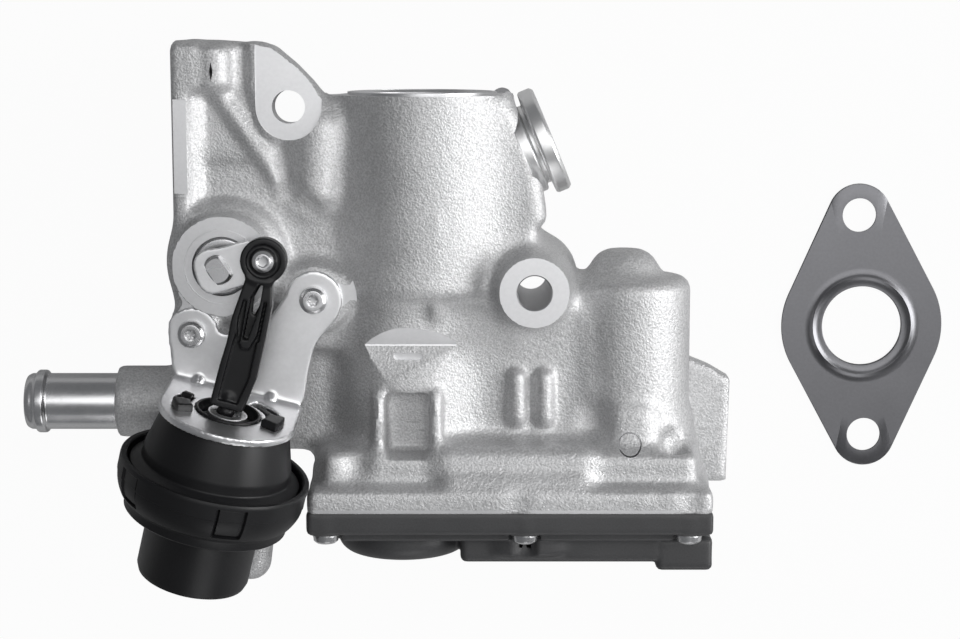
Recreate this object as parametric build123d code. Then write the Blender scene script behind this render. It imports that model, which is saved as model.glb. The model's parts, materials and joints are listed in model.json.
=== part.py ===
"""Exhaust gas recirculation valve with cooler bypass flap, as an assembly of separate pieces.

The valve lies on its back. +Z comes out of the front face, +Y runs up the valve stem to the top port,
and the origin is the centre of the gas port in the rear flange. All sizes are in millimetres.
"""
from build123d import *
from math import acos, atan2, cos, degrees, pi, radians, sin, sqrt, tan
import os

# Fits and small clearances, and how far a cutting tool runs past a face
running = 0.04
seated = 0.1
free_gap = 0.5
past = 1.0

# Valve stem axis, shared by the column, the top cylinder, the gears and the motor
stem_z = 46.0

# Rear gas flange and its gasket
port_r = 12.25
port_depth = 20.0
passage_r = 11.6
rear_bolt_pitch = 68.8
rear_bolt_r = 4.25
rear_bolt_depth = 15.0
rear_flange_t = 9.0
rear_mid_r = 24.8
rear_end_r = 9.7
gasket_t = 1.0
gasket_hole_r = 5.2
gasket_bead_r = 16.2
gasket_bead_w = 2.4
gasket_bead_h = 0.7
gasket_x = 139.0
gasket_y = -9.0
gasket_turn = -2.5

# Top cylinder and top port
top_x = 4.2
top_r = 23.75
top_y = 63.9
top_foot_y = 8.0
rim_r = 21.0
rim_h = 1.1
top_bore_r = 19.5
top_bore_depth = 25.0
top_chamber_r = 18.5

# Column round the stem, with its two ribs, pocket and notch
column_r = 20.0
column_top_y = 14.0
rib_w = 2.3
left_rib_z = 69.8
right_rib_z = 71.0
left_rib_x = -7.8
left_rib_y = (-41.0, 7.0)
right_rib_x = 8.3
right_rib_y = (-37.0, 31.0)
rib_root_z = 50.0
pocket_y = (-36.6, -18.6)
pocket_floor_z = 59.5
pocket_corner_r = 3.0
pocket_gap = 0.3
notch_half_w = 11.7
notch_top_y = 0.4
notch_crease_y = -5.3
notch_foot_y = -17.2
notch_hole_r = 4.2
notch_hole_at = (0.4, -9.0)
notch_hole_depth = 8.0

# Gas valve: seat, poppet, stem and its guide
seat_y = (14.0, 20.0)
seat_bore_r = 10.4
seat_wall = 3.6
seat_cone = 2.0
disc_t = 3.2
disc_rim = 1.0
disc_crown_r = 4.0
stem_r = 3.0
stem_flat = 2.6
spindle_r = 4.0
guide_r = 6.0
guide_y = (-38.0, -13.0)
stem_seal_r = 8.4
stem_seal_t = 3.0
chamber_r = 12.5
lift = 8.0
sweep_deg = 75.0
sector_margin_deg = 11.0
wedge_points = 4

# Gear case and cover
case_x = (-27.6, 85.5)
case_z = (13.0, 75.0)
case_corner_r = 6.5
case_back_y = -44.0
case_face_y = -51.0
case_wall = 2.9
case_floor_y = -38.0
case_neck_y = -33.0
case_inset = 4.0
cover_rim_y = -57.2
cover_tier_y = -60.2
cover_tier_inset = 5.2
cover_wall = 2.2
cover_dome_x = -1.5
cover_dome_r = 19.2
cover_dome_y = -67.8
cover_dome_edge_r = 6.0
cover_bulge_y = -65.4
cover_bulge_gap = 1.0
cover_bulge_edge_r = 1.2
seal_w = 1.5
seal_h = 1.6
seal_inset = 0.9
screw_r = 2.0
screw_core_r = 1.7
screw_head_r = 3.65
screw_head_h = 3.2
screw_len = 12.0
screw_socket_r = 2.0
head_round_share = 0.25
socket_depth_share = 0.55
screw_boss_r = 4.6
screw_inset = 5.7
screw_front_x = (-22.6, 33.2, 79.2)
screw_rear_x = (-21.9, 16.0, 79.2)

# Plug connector on the cover
plug_x = (70.4, 86.6)
plug_y = (-70.0, -60.2)
plug_z = (41.0, 65.0)
plug_wall = 1.6
plug_depth = 15.0
plug_corner_r = 2.6
plug_body_x = 15.0
plug_body_y = -67.6
pin_w = 0.8
pin_len = 16.0
pin_tip = 5.0
pin_count = 5

# Motor housing, motor and gear train
motor_x = 63.7
motor_house_r = 17.2
motor_house_y = 12.4
motor_shoulder_r = 4.2
breather_x = 61.9
breather_r = 10.2
breather_y = 19.9
breather_edge_r = 5.5
motor_foot_r = 21.5
motor_foot_y = -33.0
motor_r = 14.6
motor_bore_r = 14.9
motor_end_y = 6.0
motor_wall = 1.2
motor_plate_r = 16.4
motor_plate_t = 2.0
rotor_r = 10.5
rotor_gap = 4.0
motor_shaft_r = 1.6
gear_module = 1.0
sector_teeth = 52
idler_small_teeth = 18
idler_large_teeth = 45
motor_teeth = 14
addendum = 0.75
dedendum = 1.1
pressure_deg = 20.0
flank_points = 3
backlash = 0.14
sector_plane = (-51.0, -46.0)
wheel_plane = (-56.6, -52.4)
axle_r = 2.0
axle_seat_depth = 4.0
axle_step_r = 4.0
axle_end_y = -58.5
wheel_gap = 0.3
small_wheel_gap = 0.4
hub_r = 11.0
hub_bearing_r = 8.0
hub_nose_len = 8.0
hub_y = (-55.6, -39.6)
hub_tail_y = -63.0
hub_tail_r = 6.0
hub_cap_t = 1.5
magnet_r = 9.0
magnet_y = (-62.4, -58.4)
sensor_ring_r = 13.4
sensor_gap = 1.0
return_spring_r = 13.2
return_spring_wire = 1.5
return_spring_turns = 3

# Left body: gas flange to the cooler, flap chamber, jacket
flange_x = (-64.8, -57.2)
flange_y = (-8.0, 79.0)
flange_z = (8.0, 64.0)
flange_step_y = 7.2
flange_step_z = 60.4
flange_corner_r = 5.0
flange_pad_y = (37.0, 63.0)
flange_pad_inset = 2.2
flange_pad_h = 1.2
flange_bolt_r = 3.4
flange_bolt_low = (5.0, 6.5)
flange_bolt_high = (6.0, 22.0)
cooler_port_w = 13.0
cooler_port_offset = 9.5
cooler_port_inset = 2.0
flap_room_back = 3.0
flap_room_half = 20.0
gas_way_outline = [(-26, 42), (-8, 42), (-8, 22), (-16, 21)]
body_z = (20.0, 60.0)
jacket_block_z = (18.0, 52.4)
jacket_block_y = (-38.0, 6.0)
jacket_block_x = (-68.0, -14.0)
jacket_wall = 6.0
jacket_room_x = (-62.0, -30.0)
jacket_room_z = (28.0, 46.4)
top_plate_back_z = 47.0
boss_column_x = -53.4
boss_column_z = 58.0
boss_column_r = 4.9
boss_column_y = (66.0, 78.6)
boss_slit_w = 1.0
boss_slit_y = (67.6, 73.4)
boss_slit_z = 61.0

# Walls and webs of the casting; the outlines are seen from the front
wall_corner_r = 2.0
block_corner_r = 3.0
right_wall_z = (30.0, 60.0)
right_wall_outline = [(10, 63), (27.5, 63), (32, 57.4), (35.8, 47.8), (38.5, 39.2), (39.6, 30), (44, 16),
                      (44, 4), (30, -4), (10, -4)]
web_z = (26.0, 60.0)
web_outline = [(8, 14), (40, 14), (56, 4), (56, -40), (8, -40)]
bump_x = (31.0, 38.8)
bump_y = (-27.0, -14.0)
bump_z = 60.0
bump_r = 2.9
left_block_x = (-62.0, -16.0)
left_block_y = (-6.0, 50.0)
top_plate_outline = [(flange_x[0], 40), (flange_x[0], flange_y[1]), (-40, flange_y[1]), (-36.9, 77.1),
                     (-26.8, 68.8), (-22.7, 63.9), (-12, 62.9), (-12, 40)]
ledge_x = (8.0, 52.0)
ledge_z = (40.0, 73.0)
ledge_h = 9.0

# Ear and front boss, both with through holes for M8 screws
ear_x = -32.5
ear_y = 60.8
ear_hole_r = 4.6
ear_z = (50.0, 59.0)
ear_step_x = -41.5
ear_face_step = 0.8
ear_corner_r = 1.0
ear_outline = [(ear_step_x, 68), (ear_step_x, 78.4), (-36.9, 76.4), (-27.6, 68.6), (-25.2, 61), (-27, 55),
               (-32, 52.6), (-38, 54)]
ear_spot_r = 9.3
ear_pocket_w = 19.0
lobe_x = -25.6
lobe_y = (32.0, 62.0)
lobe_z = 55.0
lobe_r = 7.4
boss_x = 35.6
boss_y = 10.4
boss_r = 12.0
boss_face_r = 9.8
boss_hole_r = 4.7
boss_z = (26.0, 72.0)
boss_step = 1.0

# Bypass flap
flap_x = -50.2
flap_y = 17.7
flap_surround_r = 17.0
flap_surround_z = 61.6
flap_boss_r = 13.9
flap_ring_r = 13.2
flap_recess_r = 8.5
seal_set_back = 0.6
seal_lip = 1.0
flap_boss_z = 70.0
flap_face_z = 71.4
flap_shaft_r = 3.9
flap_bush_r = 6.0
flap_bush_len = 13.0
rear_bush_len = 6.5
flap_shaft_end_z = 81.0
flap_chamber_z = (33.0, 56.0)
flap_len = 17.0
flap_t = 1.8
flap_swing = 50.0
shaft_flat = 4.6
shaft_key_deg = 33.0
lever_z = (76.7, 78.7)
lever_corner_r = 1.4
lever_outline = [(-55.1, 22.9), (-49.2, 23.6), (-41.0, 25.9), (-33.6, 24.6), (-32.6, 18.6), (-35.6, 15.2),
                 (-43.1, 13.3), (-52.7, 10.6), (-56.6, 14.6), (-57.4, 19.6)]
crank = 13.0
crank_deg = 12.7
link_z = (79.0, 84.0)
link_eye_r = 6.25
lever_pin_r = 2.0
pin_head_r = 3.0
pin_head_h = 1.6
pin_play = 0.1
pin_edge_r = 0.5
pin_tail_h = 1.0
pin_dimple_r = 1.4
pin_dimple_depth = 0.6
foot_r = 2.4
foot_neck_r = 1.6
foot_len = 5.2
foot_play = 1.25
socket_depth = 3.4
link_slot_w = 2.4
link_slot = [(-39.4, 13.4), (-42.6, 0.6)]
link_foot_half_w = 4.9
link_left_edge = [(-42.4, 16.8), (-45.0, 10.4), (-47.0, 3.0), (-48.4, -2.4)]
link_right_edge = [(-39.6, -5.2), (-37.6, 3.9), (-36.2, 12.0)]

# Actuator: axis leans in the plane of the lever and towards the front
act_turn = 14.0
act_lean = 8.5
act_foot = (-48.5, -20.6)
foot_side_offset = 0.69
foot_rise_offset = 0.82
neck_bore_r = 8.6
upper_top_r = 17.5
upper_low_r = 20.5
upper_s = 13.0
shell_flange_r = 23.6
shell_wall = 1.8
collar_gap = 0.8
collar_r = shell_flange_r + collar_gap + shell_wall
collar_s = (16.0, 27.5)
step_inset = 1.0
step_r = shell_flange_r - step_inset
step_s = 31.0
drum_r = 15.6
drum_s = 50.0
drum_edge = 2.0
clamp_lead = 1.2
claw_w = 6.6
claw_t = 2.6
claw_r = 12.2
claw_h = 2.2
claw_hook = 2.0
tab_w = 7.0
tab_s = (19.5, 25.8)
tab_deg = 70.0
tab_count = 5
plunger_r = 5.3
plunger_top = -2.2
piston_r = 12.0
piston_s = (17.0, 19.0)
diaphragm_t = 1.2
fold_depth = 5.0
fold_r = 4.0
act_spring_r = 8.2
act_spring_wire = 1.6
act_spring_turns = 4
vac_r = 2.4
vac_bore_r = 1.2
vac_len = 11.0
vac_s = 41.0

# Bracket that carries the actuator
sheet_t = 2.0
bracket_reach = 17.8
bracket_plate_r = 18.9
bracket_plate_w = 37.5
bracket_hole_r = 9.0
claw_gap = 0.8
screw_gap = 0.3
bracket_outline = [(-66.2, 3.0), (-63.0, 5.4), (-58.0, 5.2), (-53.6, 1.6), (-50.6, -1.7), (-45.0, -2.4),
                   (-38.0, 2.3), (-33.6, 9.3), (-30.7, 13.6), (-25.4, 15.8), (-20.5, 13.6), (-18.2, 9.3),
                   (-18.9, 4.4), (-23.1, -1.4), (-25.8, -6.0), (-27.1, -11.3)]
ear_left = (-59.7, -1.9)
ear_right = (-25.7, 7.6)
left_post_r = 7.0
right_post_r = 9.2
bracket_screw_r = 3.0
bracket_head_r = 3.9
bracket_head_h = 3.4
bracket_screw_len = 11.0
bracket_socket_r = 2.2

# Coolant nipple and outlet spigot
nipple_y = -24.6
nipple_z = 45.0
nipple_tip_x = -110.2
nipple_root_x = -83.9
nipple_boss_x = -69.5
nipple_boss_r = 10.3
nipple_r = 8.1
nipple_bore_r = 6.4
nipple_passage_r = 5.8
nipple_seat_depth = 6.0
nipple_bead_r = 9.1
nipple_edge = 0.8
nipple_bead_x = (-107.6, -104.1)
spigot_at = (41.0, 51.8)
spigot_deg = 22.5
spigot_r = 15.3
spigot_neck_r = 11.6
spigot_bore_r = 9.0
outlet_passage_r = 8.4
spigot_disc_t = 4.6
spigot_groove = 1.4
spigot_collar_r = 13.4
spigot_collar_t = 3.4
spigot_tail = 4.0
spigot_room = 1.0
spigot_edge = 0.6

# Feet that carry the valve on its back
foot_plate_t = 8.0
foot_plate_outline = [(22, -59), (97.5, -59), (98.6, -24), (91, -20), (85, -17.6), (22, -17.6)]
stand_x = (26.0, 80.0)
stand_y = (-44.0, -22.0)
stand_top_z = 34.0
bolt_neck_z = 34.0
port_neck_r = 19.8
lug_r = 7.5
lug_t = 12.0
lug_at = (-51.0, -82.0)
lug_outline = [(-60, -40), (-58.5, -82), (-43.5, -82), (-36, -40)]
lug_corner_r = 1.5
lug_root_x = (-60.0, -30.0)
lug_root_y = (-44.0, -30.0)
lug_root_z = 22.0


# Cover screws, a row along the front edge and a row along the rear edge
screw_places = ([(x, case_z[1] - screw_inset) for x in screw_front_x]
                + [(x, case_z[0] + screw_inset) for x in screw_rear_x])

# Seat of the spigot's collar on the housing, measured back from the disc's outer face
spigot_seat = -(spigot_disc_t + spigot_groove + spigot_collar_t)

# Outside of the pressed-in valve seat
seat_r = seat_bore_r + seat_wall

# The motor can starts on its end plate, which seats on the gear case floor
motor_start_y = case_floor_y + motor_plate_t


# Helpers: plain bodies by their place
def rod_x(y, z, x0, x1, r):
    return Solid.make_cylinder(r, x1 - x0, Plane((x0, y, z), z_dir=(1, 0, 0)))


def rod_y(x, z, y0, y1, r):
    return Solid.make_cylinder(r, y1 - y0, Plane((x, y0, z), z_dir=(0, 1, 0)))


def rod_z(x, y, z0, z1, r):
    return Solid.make_cylinder(r, z1 - z0, Plane((x, y, z0), z_dir=(0, 0, 1)))


def block(x, y, z):
    return Solid.make_box(x[1] - x[0], y[1] - y[0], z[1] - z[0], Plane((x[0], y[0], z[0])))


def slab_z(points, z, corner=0.0):
    """Plate seen from the front: its outline in X and Y, thick along Z."""
    face = make_face(Polyline(*points, close=True))
    if corner:
        face = fillet(face.vertices(), corner)
    return extrude(Pos(0, 0, z[0]) * face, z[1] - z[0])


def slab_y(points, y, corner=0.0):
    """Plate seen along the stem: its outline in X and Z, thick along Y."""
    face = make_face(Polyline(*points, close=True))
    if corner:
        face = fillet(face.vertices(), corner)
    return extrude(Plane((0, y[1], 0), x_dir=(1, 0, 0), z_dir=(0, -1, 0)) * face, y[1] - y[0])


def slab_x(points, x, corner=0.0):
    """Plate seen from the side: its outline in Y and Z, thick along X."""
    face = make_face(Polyline(*points, close=True))
    if corner:
        face = fillet(face.vertices(), corner)
    return extrude(Plane((x[0], 0, 0), x_dir=(0, 1, 0), z_dir=(1, 0, 0)) * face, x[1] - x[0])


def corners(a, b, inset=0.0):
    """Four corners of a rectangle from its two ranges, drawn in by an inset."""
    lo_a, hi_a = a[0] + inset, a[1] - inset
    lo_b, hi_b = b[0] + inset, b[1] - inset
    return [(lo_a, lo_b), (hi_a, lo_b), (hi_a, hi_b), (lo_a, hi_b)]


def turned(points, place=None):
    """Solid of revolution from (radius, height) points, set on a place."""
    body = revolve(make_face(Plane.XZ * Polyline(*points, close=True)), Axis.Z)
    return body.moved(place) if place else body


def joined(parts):
    body = parts[0]
    for part in parts[1:]:
        body = body + part
    return body


def cut(body, tools):
    for tool in tools:
        body = body - tool
    return body


# How a box or cylinder stands on its place
standing = (Align.CENTER, Align.CENTER, Align.MIN)
hanging = (Align.CENTER, Align.CENTER, Align.MAX)


def group(solids):
    return Compound(children=list(solids))


# Places along the stem axis: local z runs towards the top port
stem_place = Plane((0, 0, stem_z), x_dir=(1, 0, 0), z_dir=(0, 1, 0)).location
motor_place = Plane((motor_x, 0, stem_z), x_dir=(1, 0, 0), z_dir=(0, 1, 0)).location

# Idler axle, one centre distance from the stem and the other from the motor
near = gear_module * (sector_teeth + idler_small_teeth) / 2
far = gear_module * (idler_large_teeth + motor_teeth) / 2
idler_x = (near ** 2 - far ** 2 + motor_x ** 2) / (2 * motor_x)
idler_z = stem_z - sqrt(near ** 2 - idler_x ** 2)
idler_place = Plane((idler_x, 0, idler_z), x_dir=(1, 0, 0), z_dir=(0, 1, 0)).location

# Lever pin at rest
pin_x = flap_x + crank * cos(radians(crank_deg))
pin_y = flap_y + crank * sin(radians(crank_deg))
link_mid_z = (link_z[0] + link_z[1]) / 2

# Actuator axis: s runs down it from the bracket plate, side runs across it, rise runs to the front
lean = radians(act_lean)
turn = radians(act_turn)
act_up = Vector(sin(turn) * cos(lean), cos(turn) * cos(lean), sin(lean))
act_side = Vector(cos(turn), -sin(turn), 0)
act_rise = act_side.cross(act_up)
act_origin = (Vector(act_foot[0], act_foot[1], link_mid_z) + act_side * foot_side_offset
              + Vector(0, 0, foot_rise_offset))
act_plane = Plane(act_origin, x_dir=act_side, z_dir=act_up * -1)
act_place = act_plane.location
bend_mid = act_origin - act_rise * bracket_reach
sheet_front_z = bend_mid.Z
sheet_z = (sheet_front_z - sheet_t, sheet_front_z)


# Rear flange outline, shared by the gasket
def rhombic(mid_r, end_r, pitch):
    circles = [Circle(mid_r), Pos(0, pitch / 2) * Circle(end_r), Pos(0, -pitch / 2) * Circle(end_r)]
    return make_hull([edge for circle in circles for edge in circle.edges()])


def wall_bosses():
    """Cast bosses that stand on the housing and take screws, pins and pipes."""
    return [
        rod_z(flap_x, flap_y, body_z[0], flap_surround_z, flap_surround_r),
        rod_z(flap_x, flap_y, body_z[0], flap_boss_z, flap_boss_r),
        rod_z(flap_x, flap_y, body_z[0], flap_face_z, flap_ring_r),
        rod_z(ear_left[0], ear_left[1], jacket_block_z[0], sheet_z[0], left_post_r),
        rod_z(ear_right[0], ear_right[1], body_z[0], sheet_z[0], right_post_r),
        rod_x(nipple_y, nipple_z, nipple_root_x, nipple_boss_x + nipple_seat_depth + 2 * past, nipple_boss_r),
        rod_z(boss_x, boss_y, boss_z[0], boss_z[1] - boss_step, boss_r),
        rod_z(boss_x, boss_y, boss_z[0], boss_z[1], boss_face_r),
        rod_y(boss_column_x, boss_column_z, boss_column_y[0], boss_column_y[1], boss_column_r),
    ]


def motor_house():
    """Tall rounded pot over the motor, with a breather dome on top and a flared foot."""
    pot = rod_y(motor_x, stem_z, case_back_y - past, motor_house_y, motor_house_r)
    pot = fillet(pot.edges().sort_by(Axis.Y)[-1], motor_shoulder_r)
    dome = rod_y(breather_x, stem_z, motor_house_y - breather_r, breather_y, breather_r)
    dome = fillet(dome.edges().sort_by(Axis.Y)[-1], breather_edge_r)
    flare = turned([(0, case_back_y), (motor_foot_r, case_back_y), (motor_house_r, motor_foot_y),
                    (0, motor_foot_y)], motor_place)
    return [pot, dome, flare]


def ear_and_plate():
    """Thin plate along the top left, with the ear for the upper mounting screw."""
    return [
        slab_z(top_plate_outline, (top_plate_back_z, ear_z[1] - ear_face_step)),
        slab_z(ear_outline, ear_z, ear_corner_r),
    ]


def gear_case_walls():
    """Flange and shallow pot behind it that hold the gear train."""
    flange = slab_y(corners(case_x, case_z), (case_face_y, case_back_y), case_corner_r)
    neck = slab_y(corners(case_x, case_z, case_inset), (case_back_y - past, case_neck_y), case_corner_r)
    ledge = slab_y(corners(ledge_x, ledge_z), (case_back_y - past, case_back_y + ledge_h), block_corner_r)
    return [flange, neck, ledge]


def feet():
    """Rear faces that the valve lies and mounts on."""
    rear = extrude(rhombic(rear_mid_r, rear_end_r, rear_bolt_pitch), rear_flange_t)
    plate = slab_z(foot_plate_outline, (0, foot_plate_t), wall_corner_r)
    stand = block(stand_x, stand_y, (foot_plate_t - past, stand_top_z))
    lug = slab_z(lug_outline, (0, lug_t), lug_corner_r)
    lug_end = rod_z(lug_at[0], lug_at[1], 0, lug_t, lug_r)
    lug_root = block(lug_root_x, lug_root_y, (0, lug_root_z))
    neck = rod_z(0, 0, 0, stem_z, port_neck_r)
    upper_neck = rod_z(0, rear_bolt_pitch / 2, 0, bolt_neck_z, rear_end_r)
    lower_neck = rod_z(0, -rear_bolt_pitch / 2, 0, bolt_neck_z, rear_end_r)
    return [rear, plate, stand, lug, lug_end, lug_root, neck, upper_neck, lower_neck]


def cast_body():
    """Everything of the casting before it is machined."""
    right_wall = slab_z(right_wall_outline, right_wall_z, wall_corner_r)
    web = slab_z(web_outline, web_z, wall_corner_r)
    bumps = [rod_y(x, bump_z, bump_y[0], bump_y[1], bump_r) for x in bump_x]
    left = slab_z(corners(left_block_x, left_block_y), body_z, block_corner_r)
    jacket = slab_z(corners(jacket_block_x, jacket_block_y), jacket_block_z, block_corner_r)
    lobe = rod_y(lobe_x, lobe_z, lobe_y[0], lobe_y[1], lobe_r)
    side = slab_x(corners(flange_y, flange_z), flange_x, flange_corner_r)
    side = side - block((flange_x[0] - past, flange_x[1] + past), (flange_y[0] - past, flange_step_y),
                        (flange_step_z, flange_z[1] + past))
    pad = block((flange_x[0] + flange_pad_inset, flange_x[1]), flange_pad_y,
                (flange_z[0] + flange_corner_r, flange_z[1] + flange_pad_h))
    left_rib = block((left_rib_x - rib_w / 2, left_rib_x + rib_w / 2), left_rib_y, (rib_root_z, left_rib_z))
    right_rib = block((right_rib_x - rib_w / 2, right_rib_x + rib_w / 2), right_rib_y,
                      (rib_root_z, right_rib_z))
    return [
        rod_y(top_x, stem_z, top_foot_y, top_y, top_r),
        rod_y(top_x, stem_z, top_y - past, top_y + rim_h, rim_r),
        rod_y(0, stem_z, case_back_y, column_top_y, column_r),
        right_wall, web, left, jacket, lobe, side, pad, left_rib, right_rib,
        *bumps, *ear_and_plate(), *wall_bosses(), *motor_house(), *gear_case_walls(), *feet(),
    ]


def spigot_place():
    """Local z runs out of the housing along the outlet spigot, from its disc centre."""
    out = (cos(radians(spigot_deg)), sin(radians(spigot_deg)), 0)
    return Plane((spigot_at[0], spigot_at[1], stem_z), x_dir=(0, 0, 1), z_dir=out).location


def flap_chamber():
    """Hollow that the flap swings in: it narrows to the valve and opens to two flange ports."""
    tip = flap_x + flap_len * cos(radians(flap_swing / 2))
    reach = flap_len * sin(radians(flap_swing / 2)) + past
    back = flap_x - flap_room_back
    plan = [(back, flap_y + flap_room_half), (tip, flap_y + reach), *gas_way_outline, (tip, flap_y - reach),
            (back, flap_y - flap_room_half)]
    chamber = slab_z(plan, flap_chamber_z)
    port_z = (flap_chamber_z[0] + cooler_port_inset, flap_chamber_z[1] - cooler_port_inset)
    half = cooler_port_w / 2
    ports = []
    for side in (-1, 1):
        mid = flap_y + side * cooler_port_offset
        ports.append(block((flange_x[0] - past, flap_x), (mid - half, mid + half), port_z))
    return [chamber, *ports]


def machining():
    """Bores, faces and pockets cut into the casting."""
    inner = corners(case_x, case_z, case_wall)
    cavity = slab_y(inner, (case_face_y - past, case_back_y), case_corner_r - case_wall)
    cavity += slab_y(corners(case_x, case_z, case_inset + case_wall), (case_back_y - past, case_floor_y),
                     block_corner_r)
    for x, z in screw_places:
        cavity = cavity - rod_y(x, z, case_face_y - 2 * past, case_floor_y + past, screw_boss_r)
    cavity = cavity - rod_y(0, stem_z, case_floor_y - hub_nose_len, case_floor_y + past, hub_bearing_r)
    pocket_x = (left_rib_x + rib_w / 2 + pocket_gap, right_rib_x - rib_w / 2 - pocket_gap)
    front = stem_z + column_r
    pocket = slab_z(corners(pocket_x, pocket_y), (pocket_floor_z, front + past), pocket_corner_r)
    depth = column_r - sqrt(column_r ** 2 - notch_half_w ** 2)
    notch = slab_x([(notch_crease_y, front - depth), (notch_top_y, front), (notch_top_y, front + past),
                    (notch_foot_y, front + past), (notch_foot_y, front)], (-column_r, column_r))
    slope = atan2(depth, notch_crease_y - notch_foot_y)
    notch_plane = Plane((notch_hole_at[0], notch_hole_at[1], front - notch_hole_depth),
                        z_dir=(0, sin(slope), cos(slope)))
    notch_hole = Solid.make_cylinder(notch_hole_r, notch_hole_depth + past, notch_plane)
    bush_z = (flap_chamber_z[0] - rear_bush_len - 2 * past, flap_chamber_z[1] + flap_bush_len)
    thread_z = (sheet_z[1] - bracket_screw_len - past, sheet_z[0] + past)
    tools = [
        cavity, pocket, notch, notch_hole,
        rod_z(0, 0, -past, port_depth, port_r),
        rod_z(0, 0, port_depth, stem_z, passage_r),
        rod_y(0, stem_z, -passage_r - free_gap, seat_y[0], chamber_r),
        rod_y(0, stem_z, seat_y[0], seat_y[1], seat_r),
        rod_y(top_x, stem_z, seat_y[1], top_y, top_chamber_r),
        rod_y(top_x, stem_z, top_y + rim_h - top_bore_depth, top_y + rim_h + past, top_bore_r),
        rod_y(0, stem_z, case_floor_y - hub_nose_len - past, guide_y[1], guide_r),
        rod_y(0, stem_z, guide_y[1], guide_y[1] + stem_seal_t, stem_seal_r),
        rod_y(motor_x, stem_z, case_floor_y - past, motor_end_y + free_gap, motor_bore_r),
        rod_y(motor_x, stem_z, case_floor_y - past, case_floor_y + motor_plate_t, motor_plate_r + seated),
        rod_y(idler_x, idler_z, case_floor_y - past, case_floor_y + axle_seat_depth, axle_r),
        rod_z(ear_x, ear_y, top_plate_back_z - past, lobe_z + lobe_r, ear_hole_r),
        rod_z(ear_x, ear_y, ear_z[1], lobe_z + lobe_r, ear_spot_r),
        Pos(ear_x, ear_y, ear_z[0]) * Box(ear_pocket_w, ear_pocket_w, ear_z[0] - top_plate_back_z + past,
                                          align=hanging),
        rod_z(boss_x, boss_y, boss_z[0] - past, boss_z[1] + past, boss_hole_r),
        rod_z(flap_x, flap_y, flap_chamber_z[1] + flap_bush_len, flap_face_z + past, flap_recess_r),
        rod_z(flap_x, flap_y, bush_z[0], bush_z[1], flap_bush_r),
        rod_z(ear_left[0], ear_left[1], thread_z[0], thread_z[1], bracket_screw_r),
        rod_z(ear_right[0], ear_right[1], thread_z[0], thread_z[1], bracket_screw_r),
        rod_x(nipple_y, nipple_z, nipple_root_x - past, nipple_boss_x + nipple_seat_depth, nipple_r),
        rod_x(nipple_y, nipple_z, nipple_boss_x, jacket_room_x[1], nipple_passage_r),
        block(jacket_room_x, (jacket_block_y[0] + jacket_wall, -jacket_wall), jacket_room_z),
        block((boss_column_x - boss_slit_w / 2, boss_column_x + boss_slit_w / 2), boss_slit_y,
              (boss_slit_z, boss_column_z + boss_column_r + past)),
        Solid.make_cylinder(outlet_passage_r, spigot_at[0], spigot_plane(-spigot_at[0])),
        Solid.make_cylinder(spigot_r + spigot_room, spigot_at[0], spigot_plane(spigot_seat)),
        Solid.make_cylinder(spigot_neck_r, spigot_at[0], spigot_plane(spigot_seat - spigot_tail - seated)),
        *flap_chamber(),
    ]
    for sign in (-1, 1):
        tools.append(rod_z(0, sign * rear_bolt_pitch / 2, -past, rear_bolt_depth, rear_bolt_r))
    for x, z in screw_places:
        tools.append(rod_y(x, z, case_face_y - past, case_back_y + past, screw_core_r))
    for y in (flange_y[0] + flange_bolt_low[0], flange_y[1] - flange_bolt_high[0]):
        for z in (flange_z[0] + flange_bolt_low[1], flange_z[1] - flange_bolt_high[1]):
            tools.append(rod_x(y, z, flange_x[0] - past, flange_x[1] + past, flange_bolt_r))
    return tools


def spigot_plane(offset):
    """Plane across the spigot, an offset along it from the disc's outer face."""
    return Plane(spigot_place()).offset(offset)


def housing():
    return cut(joined(cast_body()), machining())


def valve_seat():
    low, high = seat_y
    return turned([(seat_bore_r, low), (seat_r, low), (seat_r, high), (seat_bore_r + seat_cone, high),
                   (seat_bore_r, high - seat_cone)], stem_place)


def flatted(radius, flat, y0, y1):
    """Round bar along the stem with two flats, so that it can't turn."""
    bar = rod_y(0, stem_z, y0, y1, radius)
    return bar & block((-flat, flat), (y0, y1), (stem_z - radius, stem_z + radius))


def stem_guide():
    low, high = guide_y
    body = rod_y(0, stem_z, low, high, guide_r)
    return body - flatted(stem_r + running, stem_flat + running, low - past, high + past)


def stem_seal():
    low = guide_y[1]
    body = rod_y(0, stem_z, low, low + stem_seal_t, stem_seal_r)
    return body - flatted(stem_r + running, stem_flat + running, low - past, low + stem_seal_t + past)


def valve_stem():
    spindle_top = case_floor_y - past - lift
    bar = flatted(stem_r, stem_flat, spindle_top - past, seat_y[1] - seat_cone)
    spindle = rod_y(0, stem_z, hub_tail_y + hub_cap_t + free_gap, spindle_top, spindle_r)
    return bar + spindle


def valve_disc():
    top = seat_y[1]
    low = top - seat_cone
    edge_r = seat_bore_r - seated
    profile = [(0, low), (edge_r, low), (edge_r + seat_cone, top), (edge_r + seat_cone, top + disc_rim),
               (disc_crown_r, top + disc_t), (0, top + disc_t)]
    return turned(profile, stem_place) - rod_y(0, stem_z, low - past, low, stem_r)


def flap_bushes():
    inner = flap_shaft_r + running
    low, high = flap_chamber_z
    bushes = []
    for z0, z1 in ((high, high + flap_bush_len), (low - rear_bush_len, low)):
        ring = turned([(inner, z0), (flap_bush_r, z0), (flap_bush_r, z1), (inner, z1)])
        bushes.append(Pos(flap_x, flap_y, 0) * ring)
    return group(bushes)


def flap_seal():
    low = flap_chamber_z[1] + flap_bush_len
    high = flap_face_z - seal_set_back
    ring = turned([(flap_shaft_r + running, low), (flap_recess_r, low), (flap_recess_r, high),
                   (flap_shaft_r + seal_lip, high), (flap_shaft_r + running, high - seal_lip)])
    return Pos(flap_x, flap_y, 0) * ring


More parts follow.
